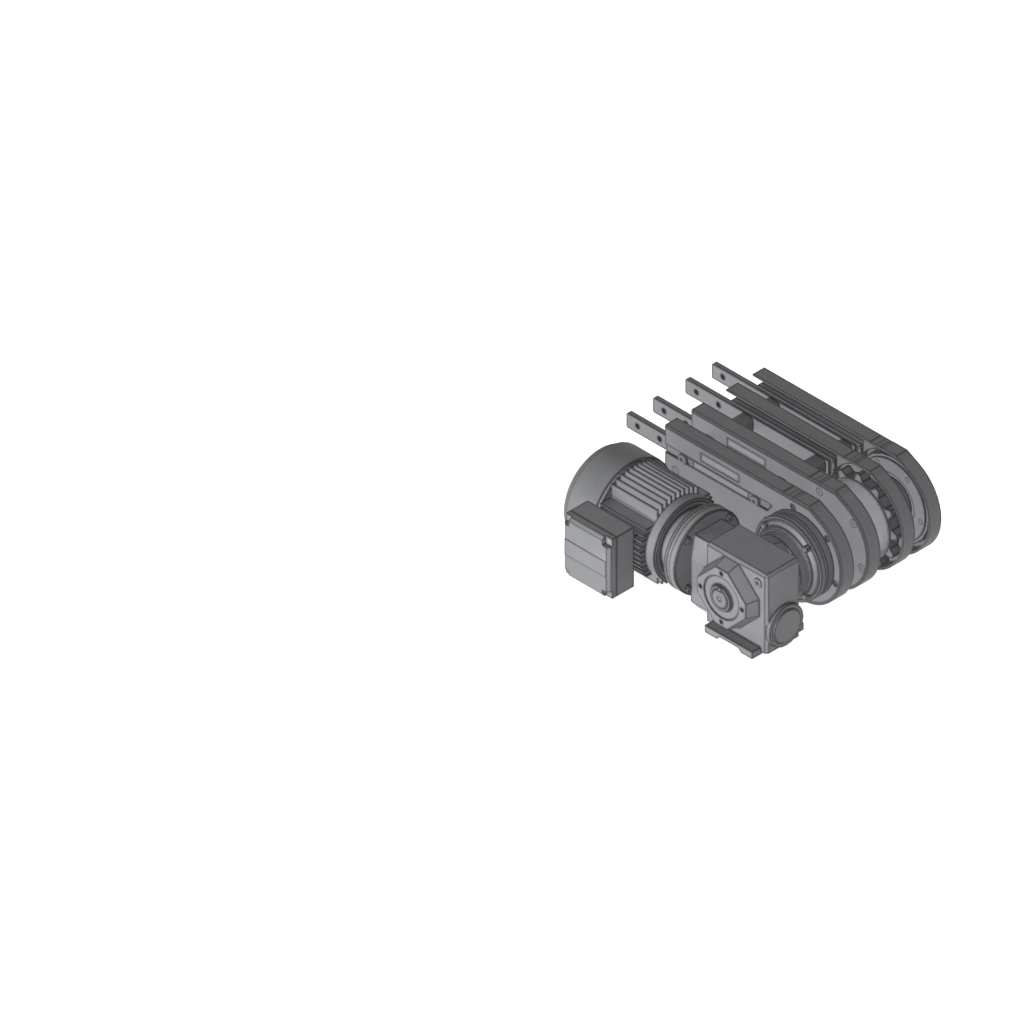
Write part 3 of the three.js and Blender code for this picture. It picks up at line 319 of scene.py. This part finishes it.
def place_piece(name, mesh, slot, body, bevel, look=None):
    """Links a mesh as a piece: smooth but for its sharp edges, bevelled, finished and on its body."""
    piece = bpy.data.objects.new(name, mesh)
    bpy.context.scene.collection.objects.link(piece)
    mesh.shade_smooth()
    mesh.set_sharp_from_angle(angle=SMOOTH_BELOW)
    mesh.materials.clear()
    mesh.materials.append(material_for(look or slot))
    if bevel > 0:
        rounded = piece.modifiers.new("edges", "BEVEL")
        rounded.width = bevel * MM
        rounded.segments = 2
        rounded.limit_method = "ANGLE"
        rounded.angle_limit = BEVEL_ABOVE
    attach(piece, body)
    return piece


def grid_piece(name, points, slot, body, closed=False, bevel=0.0, look=None):
    """Joins copies of a ring grid, shaped copies x rings x steps x 3 in mm, into one closed piece."""
    copies, rings, steps, _ = points.shape
    index = np.arange(copies * rings * steps).reshape(copies, rings, steps)
    if closed:
        index = np.concatenate([index, index[:, :1]], axis=1)
    turned_on = np.roll(index, -1, axis=2)
    quads = np.stack([index[:, :-1], turned_on[:, :-1], turned_on[:, 1:], index[:, 1:]], axis=-1)
    mesh = bpy.data.meshes.new(name)
    mesh.from_pydata((points.reshape(-1, 3) * MM).tolist(), [], quads.reshape(-1, 4).tolist())
    work = bmesh.new()
    work.from_mesh(mesh)
    bmesh.ops.remove_doubles(work, verts=work.verts, dist=1e-7)
    bmesh.ops.recalc_face_normals(work, faces=work.faces)
    work.to_mesh(mesh)
    work.free()
    return place_piece(name, mesh, slot, body, bevel, look)


def turned(name, rings, facing, centres, slot, body, steps=72, closed=False, bevel=0.0, look=None):
    """A form turned about its axis at each centre. rings holds (height, radius, sides). A point lies at
    the centre plus the height along the axis plus the radius round it, and for a ring with sides the
    radius is the flat's distance over the cosine of the angle to the middle of the nearest flat."""
    across, upward, axis = np.array(FACINGS[facing], float)
    angle = np.arange(steps) * 2 * math.pi / steps
    height, radius, sides = np.array(rings, float).T
    pitch = (2 * math.pi / np.maximum(sides, 1))[:, None]
    from_flat = (angle[None, :] + pitch / 2) % pitch - pitch / 2
    reach = radius[:, None] / np.where(sides[:, None] > 0, np.cos(from_flat), 1.0)
    spoke = np.cos(angle)[:, None] * across + np.sin(angle)[:, None] * upward
    form = height[:, None, None] * axis + reach[..., None] * spoke[None]
    centres = np.atleast_2d(np.array(centres, float))
    return grid_piece(name, form[None] + centres[:, None, None, :], slot, body, closed, bevel, look)


def plates(name, outline, thick, facing, centres, slot, body, bevel=0.15, look=None):
    """A flat plate at each centre: its outline carried along the facing by the thickness, and capped."""
    across, upward, axis = np.array(FACINGS[facing], float)
    outline = np.array(outline, float)
    flat = outline[:, :1] * across + outline[:, 1:] * upward
    form = np.stack([flat, flat + thick * axis])
    centres = np.atleast_2d(np.array(centres, float))
    points = form[None] + centres[:, None, None, :]
    copies, _, steps, _ = points.shape
    index = np.arange(copies * 2 * steps).reshape(copies, 2, steps)
    turned_on = np.roll(index, -1, axis=2)
    sides = np.stack([index[:, 0], turned_on[:, 0], turned_on[:, 1], index[:, 1]], axis=-1).reshape(-1, 4)
    faces = sides.tolist() + index[:, 0, ::-1].tolist() + index[:, 1].tolist()
    mesh = bpy.data.meshes.new(name)
    mesh.from_pydata((points.reshape(-1, 3) * MM).tolist(), [], faces)
    work = bmesh.new()
    work.from_mesh(mesh)
    bmesh.ops.recalc_face_normals(work, faces=work.faces)
    work.to_mesh(mesh)
    work.free()
    return place_piece(name, mesh, slot, body, bevel, look)


def rounded_outline(width, height, corner, steps=6):
    """A rectangle's outline with quarter-circle corners, taken anticlockwise."""
    turn = np.linspace(0, math.pi / 2, steps)[None, :] + np.arange(4)[:, None] * math.pi / 2
    side = np.array([[1, 1], [-1, 1], [-1, -1], [1, -1]], float)
    middle = side * [width / 2 - corner, height / 2 - corner]
    return (middle[:, None] + corner * np.stack([np.cos(turn), np.sin(turn)], -1)).reshape(-1, 2)


def arc_outline(inner, outer, start, stop, steps=40):
    """A curved strip's outline between two radii and two angles in degrees."""
    turn = np.radians(np.linspace(start, stop, steps))
    rim = np.stack([np.cos(turn), np.sin(turn)], -1)
    return np.concatenate([rim * outer, rim[::-1] * inner])


def half_path(inset, steps=48):
    """The edge of a side half moved inwards, as places from the shaft: along the top to the crease, the
    arc between its two tangent points, and down the slope. A tangent point's angle is the outside
    point's own angle, less or plus the arc cosine of the radius over its distance."""
    radius = HEAD_RADIUS - inset
    crease = np.array([CREASE_X, COVER_TOP - inset])
    slope = np.array([SLOPE_X, UNDERSIDE + inset])
    lean = [math.atan2(z, x) for x, z in (crease, slope)]
    open_by = [math.acos(radius / math.hypot(*point)) for point in (crease, slope)]
    turn = np.linspace(lean[0] - open_by[0], lean[1] + open_by[1] - 2 * math.pi, steps)
    arc = radius * np.stack([np.cos(turn), np.sin(turn)], -1)
    return np.concatenate([[(-RUN_LENGTH, crease[1])], [crease], arc, [slope]])


def rim_strip(name, outer, inner, thick, y, facing, look):
    """A flat strip carried round a side half's edge between two insets, its ends drawn to a point."""
    away = -1 if facing == "-Y" else 1
    edges = np.stack([half_path(outer), half_path(outer), half_path(inner), half_path(inner)], axis=1)
    depth = np.array([0, thick, thick, 0])[None, :] * away + y
    depth = np.broadcast_to(depth, edges.shape[:2])
    points = np.stack([edges[..., 0] + SHAFT_X, depth, edges[..., 1] + SHAFT_Z], axis=-1)
    ends = [np.broadcast_to(points[i].mean(axis=0), (1, 4, 3)) for i in (0, -1)]
    points = np.concatenate([ends[0], points, ends[1]])
    return grid_piece(name, points[None], "rail", "frame", False, 0.0, look)


def guide_outline(steps=24):
    """A chain guide: level top, upright back, and a hollow front that keeps outside the tooth tips."""
    reach = TOOTH_TIP + GUIDE_GAP
    turn = np.linspace(math.acos(-GUIDE_BACK / reach), math.radians(100), steps)
    arc = reach * np.stack([np.cos(turn), np.sin(turn)], -1)
    return np.concatenate([arc, [(arc[-1, 0], GUIDE_TOP)], [(-GUIDE_BACK, GUIDE_TOP)]])


def inside(y, facing, depth):
    """The place along Y that lies a depth behind a cover's outer face."""
    return y + depth if facing == "-Y" else y - depth


def around(count, radius, start=0.0):
    """Places spaced evenly on a circle, as two columns."""
    turn = np.radians(start) + np.arange(count) * 2 * math.pi / count
    return radius * np.stack([np.cos(turn), np.sin(turn)], -1)


def screw_rings(head, height, socket, sink):
    """A round head with a chamfered rim and a six-sided socket."""
    rim = min(0.5, height * 0.4)
    return [
        (-0.4, 0, 0), (-0.4, head, 0), (height - rim, head, 0), (height, head - rim, 0),
        (height, socket, 6), (height - sink, socket, 6), (height - sink, 0, 0),
    ]


def screws(name, head, height, socket, sink, facing, centres, body="frame", steps=36):
    """Socket screws, each with a dark disc on its socket floor as painted shade and a dark ring round its
    head as a painted shadow gap.
    """
    rings = screw_rings(head, height, socket, sink)
    turned(name, rings, facing, centres, "steel", body, steps, False, 0, "screw")
    # Dark discs of painted shade on the socket floors, then dark rings of painted shadow round the heads.
    floor = height - sink
    fit = socket * 0.97
    shade_disc = [(floor - 0.2, 0, 0), (floor - 0.2, fit, 6), (floor + 0.06, fit, 6), (floor + 0.06, 0, 0)]
    turned(name + "_socket_shade", shade_disc, facing, centres, "steel", body, steps, False, 0, "painted_shade")
    shadow_ring = [(-0.2, head + 0.02, 0), (-0.2, head + 1.0, 0), (0.06, head + 1.0, 0), (0.06, head + 0.02, 0)]
    turned(name + "_shadow_rings", shadow_ring, facing, centres, "steel", body, steps, True, 0, "painted_shade")


def hexagon_rings(flat, height, washer):
    """A six-sided head with a domed top over a round washer face."""
    return [
        (-0.4, 0, 0), (-0.4, washer, 0), (0.9, washer, 0), (0.9, flat, 6),
        (height - 0.7, flat, 6), (height, flat * 0.9, 0), (height, 0, 0),
    ]


def finished(node, slot, bevel, look=None):
    """Stands for a CAD node: its mesh copied, its loose triangles merged, and its edges bevelled."""
    source = frame["nodes"][node]
    work = bmesh.new()
    work.from_mesh(source.data)
    bmesh.ops.remove_doubles(work, verts=work.verts, dist=2e-6)
    bmesh.ops.dissolve_limit(work, angle_limit=math.radians(0.5), verts=work.verts, edges=work.edges)
    mesh = bpy.data.meshes.new(node + "_finished")
    work.to_mesh(mesh)
    work.free()
    piece = place_piece(node + "_finished", mesh, slot, source["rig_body"], bevel, look)
    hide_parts(node)
    return piece


def finish_nodes(prefixes, bevel, look=None):
    """Finishes every CAD node whose name starts with one of the prefixes, in its record's slot."""
    slots = {row["node"]: row["material_slot"] for row in frame["record"]["subparts"]}
    chosen = [node for node in sorted(frame["nodes"]) if node.startswith(prefixes)]
    if not chosen:
        raise RuntimeError(f"no CAD node starts with {prefixes}")
    return [finished(node, slots[node], bevel, look) for node in chosen]


# ---------------------------------------------------------------- settings


class HeadFinishSettings(bpy.types.PropertyGroup):
    """Sizes and strengths of the finish."""

    bevel: FloatProperty(name="Edge bevel", description="Width of broken edges, mm", default=0.08, min=0)
    line_width: FloatProperty(name="Edge line", description="Reach of the edge line, mm", default=3.8)
    dust: FloatProperty(name="Dust", description="Multiplier on settled dust", default=1.0, min=0)


class HeadFastenerSettings(bpy.types.PropertyGroup):
    """Sizes of the screws."""

    cover_circle: FloatProperty(
        name="Cover circle", description="Radius of the screw circle, mm", default=57.5
    )
    cover_count: IntProperty(name="Cover screws", description="Screws in each cover", default=6, min=3)
    cover_head: FloatProperty(name="Cover head", description="Head radius, mm", default=4.7)


class HeadStageSettings(bpy.types.PropertyGroup):
    """Light and floor."""

    side: FloatProperty(name="Side light", description="Light on the gearmotor side, W/m2", default=10.4)
    fill: FloatProperty(name="Fill light", description="Light from beside the camera, W/m2", default=3.6)
    sky: FloatProperty(name="Sky", description="Strength of the even surrounding light", default=0.7)
    view_width: FloatProperty(name="View width", description="Width seen, m", default=1.167, unit="LENGTH")


# ---------------------------------------------------------------- operators


class FinishesOperator(bpy.types.Operator):
    """Makes the finishes and gives each CAD node its own"""

    bl_idname = "conveyor.finishes"
    bl_label = "Finishes"

    def execute(self, context):
        groups = {"edge": edge_shade_group(), "grain": grain_group(), "dust": dust_group()}
        for name in FINISHES:
            finish(name, groups, context.scene.head_finish)
        for row in frame["record"]["subparts"]:
            mesh = frame["nodes"][row["node"]].data
            mesh.materials.clear()
            mesh.materials.append(material_for(row["material_slot"]))
        return {"FINISHED"}


class SideHalvesOperator(bpy.types.Operator):
    """Builds the side halves, rails, rim strips, label plates, chain guides, posts and crescents"""

    bl_idname = "conveyor.side_halves"
    bl_label = "Side halves"

    def execute(self, context):
        bevel = context.scene.head_finish.bevel
        finish_nodes(("side_plate", "slide_rail", "turn_rail", "slot_strip"), bevel)
        middles = [inside(y, facing, 9.7) for _, y, facing in COVER_FACES]
        for tag, start, stop, rise in (("link", -21.7, -13.7, 0.3), ("block", -11.4, 12.5, 0.6)):
            centres = [(SHAFT_X + (start + stop) / 2, y, RAIL_TOP - 0.2) for y in middles]
            outline = rounded_outline(stop - start, 19.0, 0.4)
            plates("rail_" + tag, outline, rise + 0.2, "+Z", centres, "rail", "frame", 0.1)
        for tag, y, facing in COVER_FACES:
            centre = (SHAFT_X - 130.65, inside(y, facing, 0.62), SHAFT_Z + 52)
            shape = rounded_outline(60.4, 10.2, 1.6)
            plates("label_plate_" + tag, shape, 0.5, facing, centre, "plate", "frame", 0.15, "label")
        for tag, y, facing in COVER_FACES:
            rim_strip("rim_strip_" + tag, 0.2, 2.7, 0.5, y, facing, "rail_edge_and_fan_shade")
        outline = guide_outline()
        mirrored = outline * [-1, 1]
        for tag, y, facing in COVER_FACES:
            shape = mirrored if facing == "-Y" else outline
            back = (SHAFT_X, inside(y, facing, 2.85), SHAFT_Z)
            plates("guide_" + tag, shape, 7.8, OPPOSITE[facing], back, "spacer", "frame")
        for (tag, y, facing), foot in zip(COVER_FACES, (20, 39.5, 39.5, 20)):
            rise = 51.5 - foot
            post = [(0, 0, 0), (0, 2.3, 0), (rise - 1.4, 2.3, 0), (rise - 0.4, 1.6, 0), (rise, 0, 0)]
            spot = (SHAFT_X - 48.9, inside(y, facing, 15.65), SHAFT_Z + foot)
            turned("post_" + tag, post, "+Z", spot, "spacer", "frame", 36)
        for tag, (_, face, outward) in (("near", COVER_FACES[0]), ("far", COVER_FACES[3])):
            y = inside(face, outward, 11.25)
            facing = OPPOSITE[outward]
            sign = -1 if facing == "+Y" else 1
            start, stop = (-78, 136) if sign == 1 else (44, 258)
            arc = arc_outline(35, 54, start, stop)
            plates("crescent_" + tag, arc, 2.4, facing, (SHAFT_X, y, SHAFT_Z), "plate", "frame")
            turns = [math.radians(a if sign == 1 else 180 - a) for a in (-58, -10, 58, 119)]
            out = 2.4 if facing == "+Y" else -2.4
            spots = [(SHAFT_X + 47 * math.cos(a), y + out, SHAFT_Z + 47 * math.sin(a)) for a in turns]
            screws("crescent_screws_" + tag, 2.7, 0.3, 1.3, 0.6, facing, spots)
        return {"FINISHED"}


class CrossMembersOperator(bpy.types.Operator):
    """Builds the bars, spacers and tie bolts, the slot strip's forked ends and its toothed edge"""

    bl_idname = "conveyor.cross_members"
    bl_label = "Cross members"

    def execute(self, context):
        bevel = context.scene.head_finish.bevel
        finish_nodes(("connector_bar", "cross_spacer", "tie_bolt"), bevel)
        for tag, y, facing in TIE_FACES:
            centres = [(x, y, STOCK_Z) for x in TIE_X]
            screws("tie_screws_" + tag, 5.6, 2.2, 2.4, 1.5, facing, centres)
        fork = [(0, -4.9), (8, -4.9), (4.2, 0), (8, 4.9), (0, 4.9)]
        plates("strip_fork_head", fork, 1.7, "-Y", (26.95, STRIP_Y, STOCK_Z), "polymer", "frame")
        mirrored = [(-x, z) for x, z in fork]
        plates("strip_fork_tail", mirrored, 1.7, "-Y", (-62.35, STRIP_Y, STOCK_Z), "polymer", "frame")
        teeth = [(x, 14.7, 98.4) for x in np.arange(-61.0, 26.0, 2.0)]
        plates("strip_teeth", rounded_outline(0.9, 1.7, 0.1, 2), 0.35, "-Y", teeth, "seal", "frame", 0)
        return {"FINISHED"}


class HeadOperator(bpy.types.Operator):
    """Builds the drum, sprocket rings, bearing housings, shaft end and cover screws"""

    bl_idname = "conveyor.head"
    bl_label = "Head"

    def execute(self, context):
        bevel = context.scene.head_finish.bevel
        sizes = context.scene.head_fasteners
        finish_nodes(("drum",), bevel, "drum")
        finish_nodes(("sprocket_ring",), bevel, "tooth")
        finish_nodes(("bearing_housing", "hollow_shaft", "drive_shaft"), bevel)
        for tag, y, facing in COVER_FACES:
            spots = around(sizes.cover_count, sizes.cover_circle, 43)
            centres = [(SHAFT_X + u, y, SHAFT_Z + v) for u, v in spots]
            if tag != "1":
                screws("cover_screws_" + tag, sizes.cover_head, 0.3, 1.7, 1.2, facing, centres)
            else:
                rim = [(-0.1, 2.8, 0), (-0.1, 4.9, 0), (0.12, 4.9, 0), (0.12, 4.4, 0), (-0.05, 2.8, 0)]
                turned("cover_seats_" + tag, rim, facing, centres, "plate", "frame", 36, True)
                # Dark discs sunk in the first cover's open screw holes: painted shade, so that the holes
                # read deep.
                sunk = [(x, y + 1.95, z) for x, y, z in centres]
                shade_plug = [(-0.02, 0, 0), (-0.02, 2.6, 0), (0.5, 2.6, 0), (0.5, 0, 0)]
                turned("cover_hole_shade_discs", shade_plug, facing, sunk, "seal", "frame", 36)
            corner = (SHAFT_X - 202.6, y, SHAFT_Z + 12.65)
            screws("corner_screw_" + tag, sizes.cover_head, 0.3, 1.7, 0.9, facing, corner)
        for tag, start, stop in (("near", -80.9, -83.1), ("far", -106.2, -108.4)):
            width = start - stop
            rim = [(0, 48.6, 0), (0, 51.4, 0), (width, 51.4, 0), (width, 48.6, 0)]
            middle = (SHAFT_X, -start, SHAFT_Z)
            turned("drum_rim_" + tag, rim, "+Y", middle, "polymer", "output", 96, True)
        end = [
            (-0.6, 0, 0), (-0.6, 12.2, 0), (0.2, 12.2, 0), (0.7, 11.7, 0), (0.7, 2.8, 0),
            (-0.3, 1.6, 0), (-0.3, 0, 0),
        ]
        turned("shaft_end", end, "-Y", (SHAFT_X, SHAFT_FRONT, SHAFT_Z), "steel", "output", 96)
        key = rounded_outline(6, 6.4, 0.6)
        plates("shaft_key", key, 1.2, "-Y", (SHAFT_X, SHAFT_FRONT + 0.5, SHAFT_Z + 12.4), "steel", "output")
        return {"FINISHED"}


class GearboxOperator(bpy.types.Operator):
    """Builds the gear housing, flanges, seals, end cap, vent screw and flange bolts"""

    bl_idname = "conveyor.gearbox"
    bl_label = "Gearbox"

    def execute(self, context):
        bevel = context.scene.head_finish.bevel
        finish_nodes(("gear_housing", "adapter_flange", "input_flange", "end_cap", "shaft_seal"), bevel)
        ring = [(0, 17.3, 0), (0, 28.0, 0), (2.1, 28.0, 0), (2.3, 27.7, 0), (2.3, 17.6, 0), (2.1, 17.3, 0)]
        for tag, y, facing in (("front", -110.3, "-Y"), ("back", -28.0, "+Y")):
            middle = (SHAFT_X, y, SHAFT_Z)
            turned("seal_cover_" + tag, ring, facing, middle, "paint", "frame", 96, True)
        vent = (SHAFT_X + 42.3, GEARBOX_FRONT, SHAFT_Z + 34)
        screws("vent_screw", 5.6, 1.6, 2.2, 1.2, "-Y", vent)
        spots = around(4, 46.7, 45)
        front = [(SHAFT_X + u, ADAPTER_FACE, SHAFT_Z + v) for u, v in spots]
        turned("adapter_bolts", hexagon_rings(4.3, 8, 5.2), "-Y", front, "steel", "frame", 36)
        collar = [
            (-0.3, 38.8, 0), (-0.3, 51.6, 0), (1.0, 51.2, 0), (1.0, 49.6, 0), (0.3, 49.2, 0),
            (4.2, 44.6, 0), (5.2, 44.4, 0), (5.2, 42.6, 0), (8.2, 40.6, 0), (8.2, 38.8, 0),
        ]
        middle = (SHAFT_X, ADAPTER_FACE, SHAFT_Z)
        turned("adapter_collar", collar, "-Y", middle, "casting", "frame", 96, True)
        spots = around(4, 47.2, 45)
        side = [(INPUT_FRONT, MOTOR_Y + u, MOTOR_Z + v) for u, v in spots]
        for tag, start, stop in (("motor_side", 1.2, 5.4), ("box_side", 8.6, 17.4)):
            band = [(start, 53.0, 0), (start, 54.0, 0), (stop, 54.0, 0), (stop, 53.0, 0)]
            middle = (INPUT_REAR, MOTOR_Y, MOTOR_Z)
            turned("input_band_" + tag, band, "+X", middle, "paint", "frame", 96, True)
        seat = [(-0.2, 0, 0), (-0.2, 5.9, 0), (0.5, 5.9, 0), (0.5, 0, 0)]
        turned("input_bolt_seats", seat, "+X", side, "paint", "frame", 48)
        turned("input_bolts", hexagon_rings(4, 4, 4.7), "+X", side, "steel", "frame", 36)
        return {"FINISHED"}


class MotorOperator(bpy.types.Operator):
    """Builds the motor shell, its flange, the fan cover's shoulder and guard rings, and a dark sheet of
    painted shade inside the fan cover
    """

    bl_idname = "conveyor.motor"
    bl_label = "Motor"

    def execute(self, context):
        bevel = context.scene.head_finish.bevel
        finish_nodes(("motor_flange", "stator_housing", "rear_shield"), bevel)
        # The fan cover in a darker copy of its paint, as painted shade.
        finish_nodes(("fan_cover",), bevel, "shaded_shroud")
        # The fan in the near-black finish: black polymer, and also painted shade for the inside of the fan
        # cover, which the shadowless suns light.
        finished("fan", "polymer", bevel, "rail_edge_and_fan_shade")
        step = [(-0.2, 43.6, 0), (-0.2, 50.2, 0), (0.9, 50.2, 0), (0.9, 43.6, 0)]
        middle = (MOTOR_FACE, MOTOR_Y, MOTOR_Z)
        turned("motor_flange_step", step, "+X", middle, "paint", "frame", 96, True)
        middle = (FAN_REAR, MOTOR_Y, MOTOR_Z)
        shoulder = [
            (-0.2, 50.0, 0), (-0.2, 60.5, 0), (2.4, 60.2, 0), (4.6, 59.0, 0), (6.2, 57.0, 0),
            (7.0, 54.5, 0), (6.6, 52.0, 0),
        ]
        turned("fan_cover_shoulder", shoulder, "-X", middle, "paint", "frame", 96, True, 0.0, "shoulder")
        # A dark sheet just inside the fan cover: no part of the motor, but painted shade for the cover's
        # interior, where the shadowless suns cast none.
        shade_sheet = [(-44, 61.4, 0), (-44, 61.9, 0), (-2.5, 61.9, 0), (-2.5, 61.4, 0)]
        turned("fan_cover_shade_sheet", shade_sheet, "-X", middle, "paint", "frame", 96, True, 0.0, "painted_shade")
        turn = np.linspace(0, 2 * math.pi, 9)[:-1]
        for count, radius in enumerate(range(14, 47, 8), 1):
            ring = [(0.2 + 0.9 * math.sin(a), radius + 1.1 * math.cos(a), 0) for a in turn]
            turned(f"guard_ring_{count}", ring, "-X", middle, "paint", "frame", 96, True)
        return {"FINISHED"}


class TerminalBoxOperator(bpy.types.Operator):
    """Builds the terminal box, its lid, lid screws and blanking plugs"""

    bl_idname = "conveyor.terminal_box"
    bl_label = "Terminal box"

    def execute(self, context):
        finish_nodes(("terminal_box", "terminal_lid"), context.scene.head_finish.bevel)
        corners = [(x, LID_SEAT, z) for x in (-77.8, -13.6) for z in (38.4, 110.7)]
        screws("lid_screws", 3.9, 3.4, 1.5, 1.4, "-Y", corners)
        plugs = [(-83.05, -148.7, z) for z in (58.0, 91.0)]
        turned("blanking_plugs", hexagon_rings(7, 4, 8), "-X", plugs, "seal", "frame", 36)
        return {"FINISHED"}


class StageOperator(bpy.types.Operator):
    """Sets the pale floor, the soft light and the camera"""

    bl_idname = "conveyor.stage"
    bl_label = "Stage"

    def execute(self, context):
        look = context.scene.head_stage
        scene = context.scene
        scene.view_settings.view_transform = "Standard"
        world = bpy.data.worlds.new("even_light")
        world.use_nodes = True
        world.node_tree.nodes["Background"].inputs["Color"].default_value = (1, 1, 1, 1)
        world.node_tree.nodes["Background"].inputs["Strength"].default_value = look.sky
        scene.world = world

        mesh = bpy.data.meshes.new("floor")
        sides = ((-1, -1), (1, -1), (1, 1), (-1, 1))
        corners = [(x * FLOOR_REACH, y * FLOOR_REACH, 0) for x, y in sides]
        mesh.from_pydata(corners, [], [(0, 1, 2, 3)])
        floor = bpy.data.objects.new("floor", mesh)
        scene.collection.objects.link(floor)
        tone = bpy.data.materials.new("floor_paint")
        tone.use_nodes = True
        shader = tone.node_tree.nodes["Principled BSDF"]
        shader.inputs["Base Color"].default_value = (0.9, 0.9, 0.9, 1)
        shader.inputs["Roughness"].default_value = 0.9
        mesh.materials.append(tone)

        back = Vector((1, -1, 1)).normalized()
        right = Vector((1, 1, 0)).normalized()
        up = back.cross(right)
        corner = Vector((-0.107645, 0.01465, 0.134875))
        place = corner - 0.1744 * right - 0.09975 * up + CAMERA_BACK * back
        lens = bpy.data.cameras.new("camera")
        lens.type = "ORTHO"
        lens.ortho_scale = look.view_width
        camera = bpy.data.objects.new("camera", lens)
        camera.matrix_world = Matrix.Translation(place) @ Matrix((right, up, back)).transposed().to_4x4()
        scene.collection.objects.link(camera)
        scene.camera = camera

        suns = (("side_light", Vector((0, 1, 0)), look.side), ("fill_light", -back, look.fill))
        for name, towards, strength in suns:
            lamp = bpy.data.lights.new(name, "SUN")
            lamp.energy = strength
            lamp.angle = math.radians(40)
            lamp.use_shadow = False
            light = bpy.data.objects.new(name, lamp)
            light.rotation_euler = towards.to_track_quat("-Z", "Y").to_euler()
            scene.collection.objects.link(light)
        return {"FINISHED"}


PIECES = (
    FinishesOperator, SideHalvesOperator, CrossMembersOperator, HeadOperator, GearboxOperator,
    MotorOperator, TerminalBoxOperator, StageOperator,
)


class ConveyorPanel(bpy.types.Panel):
    """Lists the operators in building order"""

    bl_idname = "VIEW3D_PT_conveyor_head"
    bl_label = "Conveyor head"
    bl_space_type = "VIEW_3D"
    bl_region_type = "UI"
    bl_category = "Conveyor"

    def draw(self, context):
        for piece in PIECES:
            self.layout.operator(piece.bl_idname)


CLASSES = (HeadFinishSettings, HeadFastenerSettings, HeadStageSettings, *PIECES, ConveyorPanel)


def register():
    for kind in CLASSES:
        bpy.utils.register_class(kind)
    bpy.types.Scene.head_finish = PointerProperty(type=HeadFinishSettings)
    bpy.types.Scene.head_fasteners = PointerProperty(type=HeadFastenerSettings)
    bpy.types.Scene.head_stage = PointerProperty(type=HeadStageSettings)


def unregister():
    del bpy.types.Scene.head_stage
    del bpy.types.Scene.head_fasteners
    del bpy.types.Scene.head_finish
    for kind in reversed(CLASSES):
        bpy.utils.unregister_class(kind)


def main():
    """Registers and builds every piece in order."""
    register()
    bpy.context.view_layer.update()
    bpy.ops.conveyor.finishes()
    bpy.ops.conveyor.side_halves()
    bpy.ops.conveyor.cross_members()
    bpy.ops.conveyor.head()
    bpy.ops.conveyor.gearbox()
    bpy.ops.conveyor.motor()
    bpy.ops.conveyor.terminal_box()
    bpy.ops.conveyor.stage()


if __name__ == "__main__":
    main()
